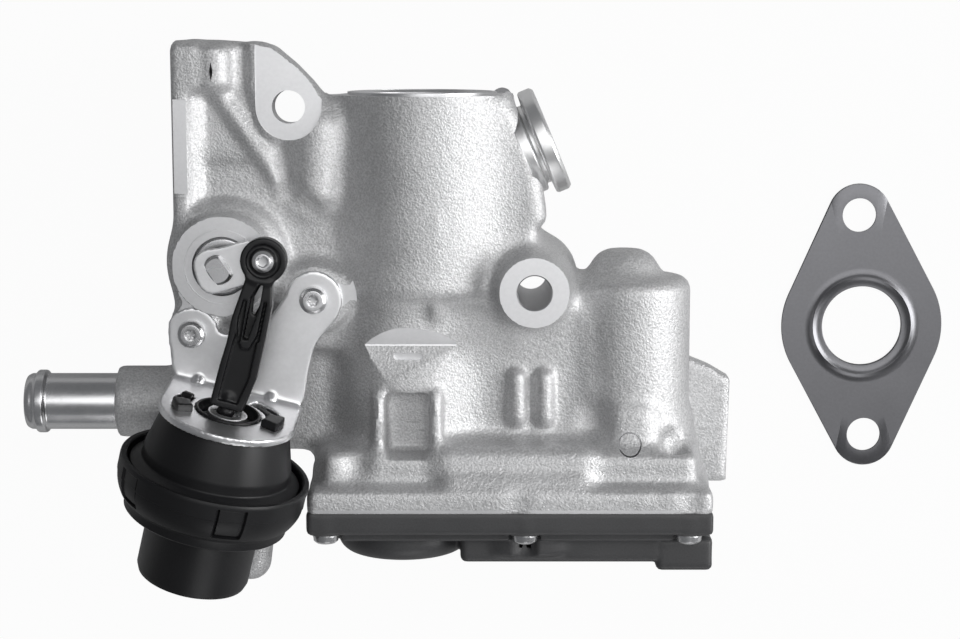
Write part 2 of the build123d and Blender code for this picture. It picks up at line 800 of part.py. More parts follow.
def double_d(radius, across, z):
    """Round bar on the flap axis with two flats, turned as the lever is keyed to it."""
    bar = Pos(0, 0, z[0]) * Cylinder(radius, z[1] - z[0], align=standing)
    flats = Pos(0, 0, z[0]) * Box(across, 4 * radius, z[1] - z[0], align=standing)
    return Pos(flap_x, flap_y, 0) * Rot(0, 0, shaft_key_deg) * (bar & flats)


def flap_shaft():
    bottom = flap_chamber_z[0] - rear_bush_len + free_gap
    shaft = rod_z(flap_x, flap_y, bottom, lever_z[0], flap_shaft_r)
    return shaft + double_d(flap_shaft_r, shaft_flat, (lever_z[0], flap_shaft_end_z)) - flap_plate()


def flap_plate():
    """Flat blade through the shaft's slot, at its place at rest."""
    blade = block((-flap_shaft_r - past, flap_len), (-flap_t / 2, flap_t / 2),
                  (flap_chamber_z[0] + 2 * free_gap, flap_chamber_z[1] - 2 * free_gap))
    return Pos(flap_x, flap_y, 0) * Rot(0, 0, flap_swing / 2) * blade


def flap_lever():
    """Stamped lever: a broad hub round the flatted shaft and an arm out to the pin."""
    sheet = slab_z(lever_outline, lever_z, lever_corner_r)
    through = (lever_z[0] - past, lever_z[1] + past)
    hole = double_d(flap_shaft_r, shaft_flat, through)
    return cut(sheet, [hole, rod_z(pin_x, pin_y, through[0], through[1], lever_pin_r)])


def lever_pin():
    seat_z = link_z[1] + pin_play
    top_z = seat_z + pin_head_h
    body = rod_z(pin_x, pin_y, lever_z[0] - pin_tail_h, seat_z, lever_pin_r)
    head = rod_z(pin_x, pin_y, seat_z, top_z, pin_head_r)
    head = fillet(head.edges().sort_by(Axis.Z)[-1], pin_edge_r)
    tail = rod_z(pin_x, pin_y, lever_z[0] - pin_tail_h, lever_z[0], pin_head_r)
    dimple = rod_z(pin_x, pin_y, top_z - pin_dimple_depth, top_z + past, pin_dimple_r)
    return body + head + tail - dimple


def link_rod():
    """Moulded link: an eye on the lever pin, a tapering slotted body and a foot in the plunger."""
    foot = Vector(act_foot[0], act_foot[1], link_mid_z)
    down = Vector(-sin(turn), -cos(turn), 0)
    side = Vector(cos(turn), -sin(turn), 0)
    neck = foot - down * foot_len
    left, right = neck - side * link_foot_half_w, neck + side * link_foot_half_w
    outline = [*link_left_edge, (left.X, left.Y), (right.X, right.Y), *link_right_edge]
    body = slab_z(outline, link_z)
    eye = rod_z(pin_x, pin_y, link_z[0], link_z[1], link_eye_r)
    half = link_slot_w / 2
    (eye_x, eye_y), (foot_x, foot_y) = link_slot
    slot_outline = [(eye_x - half, eye_y), (eye_x + half, eye_y), (foot_x + half, foot_y), (foot_x - half, foot_y)]
    slot = slab_z(slot_outline, (link_z[0] - past, link_z[1] + past))
    shaft = Solid.make_cylinder(foot_neck_r, foot_len + past, Plane(neck - down * past, z_dir=down))
    ball = Pos(*foot) * Sphere(foot_r)
    hole = rod_z(pin_x, pin_y, link_z[0] - past, link_z[1] + past, lever_pin_r + running)
    return cut(body + eye + shaft + ball, [slot, hole])


def coolant_nipple():
    r, edge = nipple_r, nipple_edge
    tip, root = nipple_tip_x, nipple_boss_x + nipple_seat_depth - seated
    low, high = nipple_bead_x
    profile = [(nipple_bore_r, tip), (r - edge, tip), (r, tip + 2 * edge), (r, low),
               (nipple_bead_r, low + edge), (nipple_bead_r, high - edge), (r, high), (r, root),
               (nipple_bore_r, root)]
    return turned(profile, Plane((0, nipple_y, nipple_z), x_dir=(0, 1, 0), z_dir=(1, 0, 0)).location)


def outlet_spigot():
    """Turned stub: a disc, a clamp groove, a collar on the housing and a tail pressed into it."""
    disc, seat = -spigot_disc_t, spigot_seat
    groove = disc - spigot_groove
    tail = seat - spigot_tail
    profile = [(spigot_bore_r, 0), (spigot_r - spigot_edge, 0), (spigot_r, -spigot_edge), (spigot_r, disc),
               (spigot_neck_r, disc), (spigot_neck_r, groove), (spigot_collar_r, groove),
               (spigot_collar_r, seat), (spigot_neck_r, seat), (spigot_neck_r, tail), (spigot_bore_r, tail)]
    return turned(profile, spigot_place())


def bracket():
    """Sheet bracket: two screwed ears, and a plate bent out across the actuator axis."""
    left = bend_mid - act_side * (bracket_plate_w / 2)
    right = bend_mid + act_side * (bracket_plate_w / 2)
    sheet = slab_z([*bracket_outline, (right.X, right.Y), (left.X, left.Y)], sheet_z)
    tongue = Pos(0, bracket_reach / 2) * Rectangle(bracket_plate_w, bracket_reach + sheet_t)
    plate = extrude(act_plane * (Circle(bracket_plate_r) + tongue), sheet_t)
    gap = claw_gap
    claws = [Pos(s * claw_r, 0, -past) * Box(claw_t + gap, claw_w + gap, sheet_t + 4 * past) for s in (-1, 1)]
    hole = Pos(0, 0, -past) * Cylinder(bracket_hole_r, sheet_t + 4 * past, align=standing)
    body = cut(sheet + plate, [shape.moved(act_place) for shape in [hole, *claws]])
    for x, y in (ear_left, ear_right):
        body = body - rod_z(x, y, sheet_z[0] - past, sheet_z[1] + past, bracket_screw_r + screw_gap)
    return body


def screw(radius, head_r, head_h, length, socket_r):
    """Pan head screw with a driving socket; its head's seat is at height 0 and the shank runs down."""
    head = rod_z(0, 0, 0, head_h, head_r)
    head = fillet(head.edges().sort_by(Axis.Z)[-1], head_h * head_round_share)
    shank = rod_z(0, 0, -length, 0, radius)
    socket = Pos(0, 0, head_h * (1 - socket_depth_share)) * extrude(RegularPolygon(socket_r, 6), head_h)
    return head + shank - socket


def bracket_screws():
    one = screw(bracket_screw_r, bracket_head_r, bracket_head_h, bracket_screw_len, bracket_socket_r)
    return group([Pos(x, y, sheet_z[1]) * one for x, y in (ear_left, ear_right)])


def cover_screws():
    one = screw(screw_core_r, screw_head_r, screw_head_h, screw_len, screw_socket_r)
    return group([one.moved(Plane((x, cover_rim_y, z), x_dir=(1, 0, 0), z_dir=(0, -1, 0)).location)
                  for x, z in screw_places])


def plug_block(inset, x):
    """Bar along X with the plug's outline, drawn in by an inset."""
    return slab_x(corners(plug_y, plug_z, inset), x, plug_corner_r - inset / 2)


def between_screws(body, y0, y1):
    """Take the round bosses of all the cover screws out of a hollow."""
    for x, z in screw_places:
        body = body - rod_y(x, z, y0, y1, screw_boss_r)
    return body


def gear_cover():
    """Moulded cover: a rim with screw bosses, a raised tier, a sensor dome, a wheel bulge and the plug."""
    rim = slab_y(corners(case_x, case_z), (cover_rim_y, case_face_y), case_corner_r)
    tier_y = (cover_tier_y, cover_rim_y + past)
    tier = slab_y(corners(case_x, case_z, cover_tier_inset), tier_y, case_corner_r)
    dome = rod_y(cover_dome_x, stem_z, cover_dome_y, cover_tier_y + past, cover_dome_r)
    dome = fillet(dome.edges().sort_by(Axis.Y)[0], cover_dome_edge_r)
    bulge = rod_y(idler_x, idler_z, cover_bulge_y, cover_tier_y + past, wheel_room_r + cover_wall)
    bulge = fillet(bulge.edges().sort_by(Axis.Y)[0], cover_bulge_edge_r)
    plug = plug_block(0, plug_x)
    body_outline = corners((plug_body_y, cover_rim_y), plug_z)
    plug_body = slab_x(body_outline, (plug_body_x, plug_x[0] + past), plug_corner_r)
    hollow_y = (cover_rim_y, case_face_y + past)
    hollow = slab_y(corners(case_x, case_z, case_wall), hollow_y, case_corner_r - case_wall)
    deep_y = (cover_tier_y + cover_wall, cover_rim_y + past)
    deep = slab_y(corners(case_x, case_z, cover_tier_inset + cover_wall), deep_y, block_corner_r)
    wheel_room = rod_y(idler_x, idler_z, cover_bulge_y + cover_wall, cover_rim_y, wheel_room_r)
    hollow = between_screws(hollow + deep + wheel_room, cover_bulge_y, case_face_y + 2 * past)
    dome_hollow = rod_y(0, stem_z, cover_dome_y + cover_wall, cover_rim_y, sensor_ring_r)
    mouth = plug_block(plug_wall, (plug_x[1] - plug_depth, plug_x[1] + past))
    body = cut(rim + tier + dome + bulge + plug + plug_body, [hollow, dome_hollow, mouth, cover_seal()])
    for x, z in screw_places:
        body = body - rod_y(x, z, cover_bulge_y, case_face_y + past, screw_r)
        body = body - rod_y(x, z, plug_y[0] - past, cover_rim_y, screw_head_r + free_gap)
    body = body + rod_y(idler_x, idler_z, cover_bulge_y + past, wheel_plane[0] - wheel_gap, axle_step_r)
    body = body - rod_y(idler_x, idler_z, axle_end_y, case_face_y, axle_r + running)
    return cut(body, plug_pins())


def plug_pins():
    """Square contacts in a row across the plug, bedded in its inner end."""
    y = (plug_y[0] + plug_y[1]) / 2
    tip = plug_x[1] - pin_tip
    pitch = (plug_z[1] - plug_z[0] - 2 * plug_wall) / pin_count
    rows = [plug_z[0] + plug_wall + pitch * (i + 0.5) for i in range(pin_count)]
    return [block((tip - pin_len, tip), (y - pin_w / 2, y + pin_w / 2), (z - pin_w / 2, z + pin_w / 2))
            for z in rows]


def connector_pins():
    return group(plug_pins())


def cover_seal():
    """Rectangular ring that follows the case outline; it fills the groove in the cover."""
    far = seal_inset + seal_w
    outer = slab_y(corners(case_x, case_z, seal_inset), (case_face_y - seal_h, case_face_y),
                   case_corner_r - seal_inset)
    inner = slab_y(corners(case_x, case_z, far), (case_face_y - seal_h - past, case_face_y + past),
                   case_corner_r - far)
    return outer - inner


def sensor_ring():
    """Position sensor ring moulded round the magnet, inside the dome."""
    low, high = magnet_y[0] - 2 * sensor_gap, magnet_y[1] + sensor_gap
    inner = magnet_r + sensor_gap
    return turned([(inner, low), (sensor_ring_r, low), (sensor_ring_r, high), (inner, high)], stem_place)


def tooth_points(teeth):
    """Outline of a spur gear: involute flanks between root and tip, three points to a flank."""
    pressure_angle = radians(pressure_deg)
    pitch_r = gear_module * teeth / 2
    base_r = pitch_r * cos(pressure_angle)
    root_r = pitch_r - dedendum * gear_module
    tip_r = pitch_r + addendum * gear_module
    involute_at_pitch = tan(pressure_angle) - pressure_angle
    half = pi / (2 * teeth) - backlash / (4 * pitch_r) + involute_at_pitch
    flank = []
    start = max(base_r, root_r)
    for step in range(flank_points):
        r = start + (tip_r - start) * step / (flank_points - 1)
        pressure = acos(min(1.0, base_r / r))
        flank.append((r, half - (tan(pressure) - pressure)))
    if root_r < base_r:
        flank.insert(0, (root_r, half))
    points = []
    for tooth in range(teeth):
        mid = 2 * pi * tooth / teeth
        side = [(r, mid - a) for r, a in flank] + [(r, mid + a) for r, a in reversed(flank)]
        points += [(r * cos(a), r * sin(a)) for r, a in side]
    return points


def spur(teeth, low, high, turn_deg, place):
    face = make_face(Polyline(*tooth_points(teeth), close=True))
    return (Pos(0, 0, low) * Rot(0, 0, turn_deg) * extrude(face, high - low)).moved(place)


# Radius of the cover's room round the idler's large wheel
wheel_room_r = gear_module * (idler_large_teeth / 2 + addendum) + cover_bulge_gap

# Directions between gear centres, in the local frame whose y points to -Z
to_idler = degrees(atan2(stem_z - idler_z, idler_x))
to_motor = degrees(atan2(idler_z - stem_z, motor_x - idler_x))


def sector_gear():
    """Toothed sector on a hub that turns on the case's bearing nose and drives the spindle nut."""
    low, high = sector_plane
    ring = spur(sector_teeth, low, high, to_idler, stem_place)
    start, end = to_idler - sweep_deg - sector_margin_deg, to_idler + sector_margin_deg
    reach = gear_module * sector_teeth
    wedge = [(0, 0)]
    for step in range(wedge_points):
        angle = radians(start + (end - start) * step / (wedge_points - 1))
        wedge.append((reach * cos(angle), reach * sin(angle)))
    face = make_face(Polyline(*wedge, close=True))
    keep = (Pos(0, 0, low) * extrude(face, high - low)).moved(stem_place)
    toothed = ring & keep
    hub = rod_y(0, stem_z, hub_y[0], hub_y[1], hub_r)
    tail = rod_y(0, stem_z, hub_tail_y, hub_y[0], hub_tail_r)
    bearing = rod_y(0, stem_z, case_floor_y - hub_nose_len - free_gap, 0, hub_bearing_r + running)
    nut = rod_y(0, stem_z, hub_tail_y + hub_cap_t, 0, spindle_r + running)
    return cut(toothed + hub + tail, [bearing, nut])


def magnet_ring():
    low, high = magnet_y
    return turned([(hub_tail_r, low), (magnet_r, low), (magnet_r, high), (hub_tail_r, high)], stem_place)


def idler_gear():
    large = spur(idler_large_teeth, wheel_plane[0], wheel_plane[1], to_motor, idler_place)
    half_pitch = 180 / idler_small_teeth
    step_y = sector_plane[1] - small_wheel_gap
    small = spur(idler_small_teeth, wheel_plane[1], step_y, to_idler + 180 + half_pitch, idler_place)
    hub = rod_y(idler_x, idler_z, step_y, case_floor_y - wheel_gap, axle_step_r)
    bore = rod_y(idler_x, idler_z, wheel_plane[0] - past, case_floor_y, axle_r + running)
    return large + small + hub - bore


def idler_axle():
    return rod_y(idler_x, idler_z, axle_end_y + wheel_gap, case_floor_y + axle_seat_depth, axle_r)


def motor_pinion():
    low, high = wheel_plane
    gear = spur(motor_teeth, low, high, to_motor + 180 + 180 / motor_teeth, motor_place)
    return gear - rod_y(motor_x, stem_z, low - past, high + past, motor_shaft_r)


def motor_can():
    low, high = motor_start_y, motor_end_y
    inner, floor = motor_r - motor_wall, motor_end_y - motor_wall
    return turned([(0, floor), (inner, floor), (inner, low), (motor_r, low), (motor_r, high), (0, high)],
                  motor_place)


def motor_end_plate():
    low, high = case_floor_y, motor_start_y
    plate = rod_y(motor_x, stem_z, low, high, motor_plate_r)
    return plate - rod_y(motor_x, stem_z, low - past, high + past, motor_shaft_r + running)


def motor_rotor():
    shaft_y = (wheel_plane[0] - free_gap, motor_end_y - motor_wall - free_gap)
    shaft = rod_y(motor_x, stem_z, shaft_y[0], shaft_y[1], motor_shaft_r)
    iron = rod_y(motor_x, stem_z, motor_start_y + rotor_gap, motor_end_y - 2 * rotor_gap, rotor_r)
    return shaft + iron


def coil(radius, wire, pitch, turns, place):
    """Round wire wound on a helix whose axis is the local z."""
    path = Helix(pitch, pitch * turns, radius)
    start = path @ 0
    profile = Plane(start, z_dir=path % 0) * Circle(wire / 2)
    return sweep(profile, path).moved(place)


def return_spring():
    """Torsion spring round the sector's hub, between the gear and the case floor."""
    wire = return_spring_wire
    start_y = case_floor_y - wire / 2 - wheel_gap
    room = abs(case_floor_y - sector_plane[1]) - wire - 2 * wheel_gap
    place = Plane((0, start_y, stem_z), x_dir=(1, 0, 0), z_dir=(0, -1, 0)).location
    return coil(return_spring_r, wire, room / return_spring_turns, return_spring_turns, place)


def actuator_spring():
    low = piston_s[1] + act_spring_wire / 2 + free_gap
    high = drum_s - shell_wall - act_spring_wire / 2 - free_gap
    body = coil(act_spring_r, act_spring_wire, (high - low) / act_spring_turns, act_spring_turns, Location())
    return (Pos(0, 0, low) * body).moved(act_place)


def upper_shell():
    """Actuator top shell: two bayonet claws round its neck, a slightly conical wall and a clamping flange."""
    w = shell_wall
    top, shoulder, foot = sheet_t, upper_s, collar_s[0]
    seat_s, face_s = foot + clamp_lead, foot + clamp_lead + w
    profile = [(neck_bore_r, top), (upper_top_r, top), (upper_low_r, shoulder), (upper_low_r, foot),
               (shell_flange_r, seat_s), (shell_flange_r, face_s), (upper_low_r, face_s),
               (upper_low_r - w, foot), (upper_low_r - w, shoulder), (upper_top_r - w, top + w),
               (neck_bore_r, top + w)]
    body = turned(profile)
    for side in (-1, 1):
        post = Box(claw_t, claw_w, top + w / 2 + claw_h, align=hanging)
        hook = Box(claw_t + claw_hook, claw_w, claw_h - seated, align=hanging)
        body = body + Pos(side * claw_r, 0, top + w / 2) * post
        body = body + Pos(side * (claw_r + claw_hook / 2), 0, -seated) * hook
    return body.moved(act_place)


def lower_shell():
    """Actuator bottom shell: snap collar, stepped drum and the vacuum nipple at its back."""
    w, edge = shell_wall, drum_edge
    top, foot = collar_s
    seat_s = top + clamp_lead + w + diaphragm_t + seated
    inner, end = drum_r - w, drum_s - w
    profile = [(collar_r - w, top), (collar_r, top), (collar_r, foot), (step_r, foot), (step_r, step_s),
               (drum_r, step_s), (drum_r, drum_s - edge), (drum_r - edge, drum_s), (0, drum_s), (0, end),
               (inner - edge, end), (inner, end - edge), (inner, step_s - w), (step_r - w, step_s - w),
               (step_r - w, seat_s), (collar_r - w, seat_s)]
    body = turned(profile)
    nozzle = Pos(0, drum_r - past, vac_s) * Rot(-90, 0, 0) * Cylinder(vac_r, vac_len + past, align=standing)
    bore_len = vac_len + 2 * w + past
    bore = Pos(0, drum_r - 2 * w, vac_s) * Rot(-90, 0, 0) * Cylinder(vac_bore_r, bore_len, align=standing)
    body = body + nozzle - bore
    tab_mid = (tab_s[0] + tab_s[1]) / 2
    window = Pos(collar_r, 0, tab_mid) * Box(2 * (collar_r - step_r), tab_w, tab_s[1] - tab_s[0])
    for i in range(tab_count):
        body = body - Rot(0, 0, tab_deg + i * 360 / tab_count) * window
    return body.moved(act_place)


def diaphragm():
    """Rubber diaphragm clamped between the shells, with one rolled fold round the piston."""
    t = diaphragm_t
    mid = (piston_s[0] + piston_s[1]) / 2
    clamp = collar_s[0] + clamp_lead + shell_wall
    fold = mid + fold_depth
    inner, outer = piston_r + 2 * seated, shell_flange_r
    lip = step_r - shell_wall
    roll = inner + fold_r
    profile = [(inner, mid), (roll, mid), (roll + t, fold), (roll + 2 * t, fold), (lip - t, clamp),
               (outer, clamp), (outer, clamp + t), (lip - seated, clamp + t), (roll + 2 * t, fold + t),
               (roll, fold + t), (roll - t, mid + t), (inner, mid + t)]
    return turned(profile).moved(act_place)


def plunger():
    """Plunger rod with a socket for the link's foot; its top stands out of the neck."""
    socket_r = foot_r + foot_play
    profile = [(socket_r, plunger_top), (plunger_r, plunger_top), (plunger_r, piston_s[0]), (0, piston_s[0]),
               (0, socket_depth), (socket_r, socket_depth)]
    return turned(profile).moved(act_place)


def piston():
    low, high = piston_s
    return turned([(0, low), (piston_r, low), (piston_r, high), (0, high)]).moved(act_place)


def flange_gasket():
    """Stamped gasket of the rear flange, lying beside the valve."""
    sheet = extrude(rhombic(rear_mid_r, rear_end_r, rear_bolt_pitch), gasket_t)
    crest = (gasket_bead_r - gasket_bead_w / 2, gasket_t + gasket_bead_h)
    bead = turned([(gasket_bead_r - gasket_bead_w, gasket_t), (gasket_bead_r, gasket_t), crest])
    through = (-past, gasket_t + gasket_bead_h + past)
    body = sheet + bead - rod_z(0, 0, through[0], through[1], port_r)
    for sign in (-1, 1):
        body = body - rod_z(0, sign * rear_bolt_pitch / 2, through[0], through[1], gasket_hole_r)
    return Pos(gasket_x, gasket_y, 0) * Rot(0, 0, -gasket_turn) * body


NODES = {
    "housing": housing,
    "valve_seat": valve_seat,
    "stem_guide": stem_guide,
    "stem_seal": stem_seal,
    "valve_stem": valve_stem,
    "valve_disc": valve_disc,
    "flap_bushes": flap_bushes,
    "flap_seal": flap_seal,
    "flap_shaft": flap_shaft,
    "flap_plate": flap_plate,
    "flap_lever": flap_lever,
    "lever_pin": lever_pin,
    "link_rod": link_rod,
    "coolant_nipple": coolant_nipple,
    "outlet_spigot": outlet_spigot,
    "bracket": bracket,
    "bracket_screws": bracket_screws,
    "gear_cover": gear_cover,
    "cover_seal": cover_seal,
    "cover_screws": cover_screws,
    "connector_pins": connector_pins,
    "sensor_ring": sensor_ring,
    "sector_gear": sector_gear,
    "magnet_ring": magnet_ring,
    "idler_gear": idler_gear,
    "idler_axle": idler_axle,
    "motor_pinion": motor_pinion,
    "motor_can": motor_can,
    "motor_end_plate": motor_end_plate,
    "motor_rotor": motor_rotor,
    "return_spring": return_spring,
    "actuator_upper_shell": upper_shell,
    "actuator_lower_shell": lower_shell,
    "diaphragm": diaphragm,
    "plunger": plunger,
    "diaphragm_piston": piston,
    "actuator_spring": actuator_spring,
    "flange_gasket": flange_gasket,
}

os.makedirs("parts", exist_ok=True)
for name, make in NODES.items():
    shape = make()
    export_step(shape, f"parts/{name}.step")
    print(name, len(shape.solids()), "solids", round(sum(s.volume for s in shape.solids())), "mm3")
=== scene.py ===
# %% [markdown]
# Exhaust gas recirculation valve, dressed for a render.
# The real valve is an aluminium casting with a motor pot, a black gear cover, a vacuum actuator and a steel
# gasket beside it. The CAD frame already holds every piece at its real size. This script gives the casting its
# soft foundry forms, works out the pieces whose finish shows, and gives every piece a material made of nodes.

# %% Load the frame
import bpy
import json
import numpy as np
from math import cos, pi, radians, sin
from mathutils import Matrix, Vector


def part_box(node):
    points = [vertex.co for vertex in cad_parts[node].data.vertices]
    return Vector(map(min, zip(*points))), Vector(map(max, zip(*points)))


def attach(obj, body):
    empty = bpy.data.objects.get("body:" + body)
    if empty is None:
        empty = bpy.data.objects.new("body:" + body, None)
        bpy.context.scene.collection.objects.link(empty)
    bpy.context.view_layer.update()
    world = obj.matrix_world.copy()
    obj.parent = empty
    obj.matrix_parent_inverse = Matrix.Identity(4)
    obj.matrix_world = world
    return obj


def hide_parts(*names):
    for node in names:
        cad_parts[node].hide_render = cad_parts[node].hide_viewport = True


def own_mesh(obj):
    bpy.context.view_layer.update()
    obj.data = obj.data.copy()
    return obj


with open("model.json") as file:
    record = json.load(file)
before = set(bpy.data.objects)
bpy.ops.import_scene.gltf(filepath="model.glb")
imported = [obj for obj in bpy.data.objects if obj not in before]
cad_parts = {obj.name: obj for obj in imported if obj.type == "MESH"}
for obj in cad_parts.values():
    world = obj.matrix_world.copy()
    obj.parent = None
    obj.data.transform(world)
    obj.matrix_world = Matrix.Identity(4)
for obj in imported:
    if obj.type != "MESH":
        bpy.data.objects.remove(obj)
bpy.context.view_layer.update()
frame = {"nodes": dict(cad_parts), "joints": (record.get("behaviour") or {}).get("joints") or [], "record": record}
nodes = frame["nodes"]
MM = 0.001


# %% Places read from the frame, in millimetres
def corner_mm(node):
    """Lowest and highest corner of a node in millimetres, as two numpy arrays."""
    low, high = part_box(node)
    return np.array(low) / MM, np.array(high) / MM


def joint_named(name):
    return next(joint for joint in frame["joints"] if joint["name"] == name)


stem_z = joint_named("rotor_turn")["pos_m"][2] / MM
motor_x = joint_named("rotor_turn")["pos_m"][0] / MM
flap_x, flap_y = [v / MM for v in joint_named("flap_turn")["pos_m"][:2]]
pin_x, pin_y = [v / MM for v in joint_named("link_turn")["pos_m"][:2]]
print("stem height", stem_z, "flap axis", flap_x, flap_y)

# %% [markdown]
# A place is an origin and three directions. The actuator leans, so it has its own: the first direction runs across
# it, the second to the front and the third down its axis, away from the bracket's bent plate.


# %% Places as an origin and three directions
def along(axis, first, second):
    """Place of an axis 0, 1 or 2 through the point given by its two other numbers, in turning order."""
    directions = np.roll(np.eye(3), -axis - 1, axis=0)
    origin = np.zeros(3)
    origin[(axis + 1) % 3], origin[(axis + 2) % 3] = first, second
    return (origin, *directions)


up = np.array(joint_named("plunger_slide")["axis"], float)
up = up / np.linalg.norm(up)
across = np.array((up[1], -up[0], 0.0)) / np.hypot(up[0], up[1])
front = np.cross(across, up)
actuator = (np.array((-47.83, -20.77, 82.32)), across, front, -up)
spigot_way = np.array((cos(radians(22.5)), sin(radians(22.5)), 0.0))
spigot = (np.array((41.0, 51.8, stem_z)), np.array((0, 0, 1.0)), np.cross(spigot_way, (0, 0, 1.0)), spigot_way)
print("actuator axis", np.round(up, 3))

# %% [markdown]
# The camera looks down on the valve from the front, a little from the top port's side. A long lens keeps the
# perspective weak, as in a catalogue picture. Its place was worked out from ellipses and from the two sides
# of the column, so every piece falls where the photograph shows it.

# %% Camera
camera_data = bpy.data.cameras.new("camera")
camera = bpy.data.objects.new("camera", camera_data)
bpy.context.scene.collection.objects.link(camera)
camera.location = (0.0206, 0.0827, 0.6241)
camera.rotation_euler = (radians(-8.2), 0, 0)
camera_data.sensor_width = 36.0
camera_data.lens = 76.1
camera_data.clip_start, camera_data.clip_end = 0.01, 20.0
bpy.context.scene.camera = camera

# %% [markdown]
# A catalogue picture of metal is lit by large white surfaces: one broad box over the camera and a stronger one
# at the right, so that the faces turned to the left fall off to a darker grey. The floor is white paper.
# It keeps the object's shadow, and rays from the camera see it a little lifted, so that it reads as white.


# %% Lights, world and floor
def soft_box(name, place, aim, size, power):
    """Square area light at a place, turned so that it faces the aim point."""
    data = bpy.data.lights.new(name, "AREA")
    data.size = size
    data.energy = power
    lamp = bpy.data.objects.new(name, data)
    bpy.context.scene.collection.objects.link(lamp)
    lamp.location = place
    way = Vector(place) - Vector(aim)
    lamp.rotation_euler = way.to_track_quat("Z", "Y").to_euler()
    return lamp


middle = (0.0, 0.0, 0.03)
soft_box("box_over", (0.25, 0.35, 1.5), middle, 1.2, 6.8)
soft_box("box_right", (1.3, 0.1, 0.75), middle, 0.9, 15.5)
soft_box("box_low", (0.2, -1.3, 0.7), middle, 0.7, 2.5)

world = bpy.data.worlds.new("studio")
bpy.context.scene.world = world
world.use_nodes = True
world_light = world.node_tree.nodes["Background"]
world_light.inputs["Color"].default_value = (0.95, 0.97, 1.0, 1)
world_light.inputs["Strength"].default_value = 0.16
bpy.context.scene.view_settings.view_transform = "Standard"


def floor_paper():
    """Diffuse paper; camera and transmission rays see it mostly as plain white."""
    material = bpy.data.materials.new("floor_paper")
    material.use_nodes = True
    tree = material.node_tree
    tree.nodes.clear()
    out = tree.nodes.new("ShaderNodeOutputMaterial")
    mix = tree.nodes.new("ShaderNodeMixShader")
    paper = tree.nodes.new("ShaderNodeBsdfDiffuse")
    paper.inputs["Color"].default_value = (0.55, 0.55, 0.55, 1)
    glow = tree.nodes.new("ShaderNodeEmission")
    glow.inputs["Color"].default_value = (1, 1, 1, 1)
    glow.inputs["Strength"].default_value = 1.0
    path = tree.nodes.new("ShaderNodeLightPath")
    either = tree.nodes.new("ShaderNodeMath")
    either.operation = "MAXIMUM"
    share = tree.nodes.new("ShaderNodeMath")
    share.operation = "MULTIPLY"
    share.inputs[1].default_value = 0.96
    tree.links.new(path.outputs["Is Camera Ray"], either.inputs[0])
    tree.links.new(path.outputs["Is Transmission Ray"], either.inputs[1])
    tree.links.new(either.outputs[0], share.inputs[0])
    tree.links.new(share.outputs[0], mix.inputs["Fac"])
    tree.links.new(paper.outputs[0], mix.inputs[1])
    tree.links.new(glow.outputs[0], mix.inputs[2])
    tree.links.new(mix.outputs[0], out.inputs["Surface"])
    return material


floor_mesh = bpy.data.meshes.new("floor")
reach = 3.0
floor_mesh.from_pydata([(-reach, -reach, 0), (reach, -reach, 0), (reach, reach, 0), (-reach, reach, 0)], [],
                       [(0, 1, 2, 3)])
floor = bpy.data.objects.new("floor", floor_mesh)
floor_mesh.materials.append(floor_paper())
floor.location.z = -0.0002
bpy.context.scene.collection.objects.link(floor)

# %% [markdown]
# Every finish below is a Principled shader fed by small node groups. A group only puts out numbers that change
# over the surface, and each material places it with its own values.


# %% Node group helpers
def new_group(name, inputs, outputs):
    """Shader node group with float inputs {name: value} and float outputs [names]."""
    group = bpy.data.node_groups.new(name, "ShaderNodeTree")
    for label, value in inputs.items():
        socket = group.interface.new_socket(label, in_out="INPUT", socket_type="NodeSocketFloat")
        socket.default_value = value
    for label in outputs:
        group.interface.new_socket(label, in_out="OUTPUT", socket_type="NodeSocketFloat")
    return group, group.nodes.new("NodeGroupInput"), group.nodes.new("NodeGroupOutput")


def noise(tree, scale, detail, source=None):
    """Noise texture on the object's coordinates; the scale is a number or an output socket."""
    node = tree.nodes.new("ShaderNodeTexNoise")
    node.inputs["Detail"].default_value = detail
    if isinstance(scale, (int, float)):
        node.inputs["Scale"].default_value = scale
    else:
        tree.links.new(scale, node.inputs["Scale"])
    if source is None:
        source = tree.nodes.new("ShaderNodeTexCoord").outputs["Object"]
    tree.links.new(source, node.inputs["Vector"])
    return node.outputs["Fac"]


def ramp(tree, value, low, high, out_low, out_high):
    """Map Range node: value from low..high to out_low..out_high."""
    node = tree.nodes.new("ShaderNodeMapRange")
    node.inputs["From Min"].default_value = low
    node.inputs["From Max"].default_value = high
    for label, bound in (("To Min", out_low), ("To Max", out_high)):
        if isinstance(bound, (int, float)):
            node.inputs[label].default_value = bound
        else:
            tree.links.new(bound, node.inputs[label])
    tree.links.new(value, node.inputs["Value"])
    return node.outputs["Result"]


def blend(tree, how, first, second):
    """Math node of two values, each a number or an output socket."""
    node = tree.nodes.new("ShaderNodeMath")
    node.operation = how
    for socket, value in zip(node.inputs, (first, second)):
        if isinstance(value, (int, float)):
            socket.default_value = value
        else:
            tree.links.new(value, socket)
    return node.outputs[0]


# %% [markdown]
# Two groups serve all surfaces. Grain is the fine speckle of a blasted casting or a moulded face: two noises of
# different size, put out as a height for the bump and a shade for the colour. Wear is a broad cloud that
# makes one surface slightly lighter, darker or rougher from place to place.


# %% Groups for grain and wear
def make_grain_group():
    group, entry, leave = new_group("grain", {"Scale": 1500.0, "Coarse": 0.35}, ["Height", "Shade"])
    fine = noise(group, entry.outputs["Scale"], 3.0)
    wide = noise(group, blend(group, "MULTIPLY", entry.outputs["Scale"], 0.38), 2.0)
    coarse = blend(group, "MULTIPLY", wide, entry.outputs["Coarse"])
    height = blend(group, "ADD", fine, coarse)
    group.links.new(height, leave.inputs["Height"])
    group.links.new(ramp(group, fine, 0.34, 0.66, 0.0, 1.0), leave.inputs["Shade"])
    return group


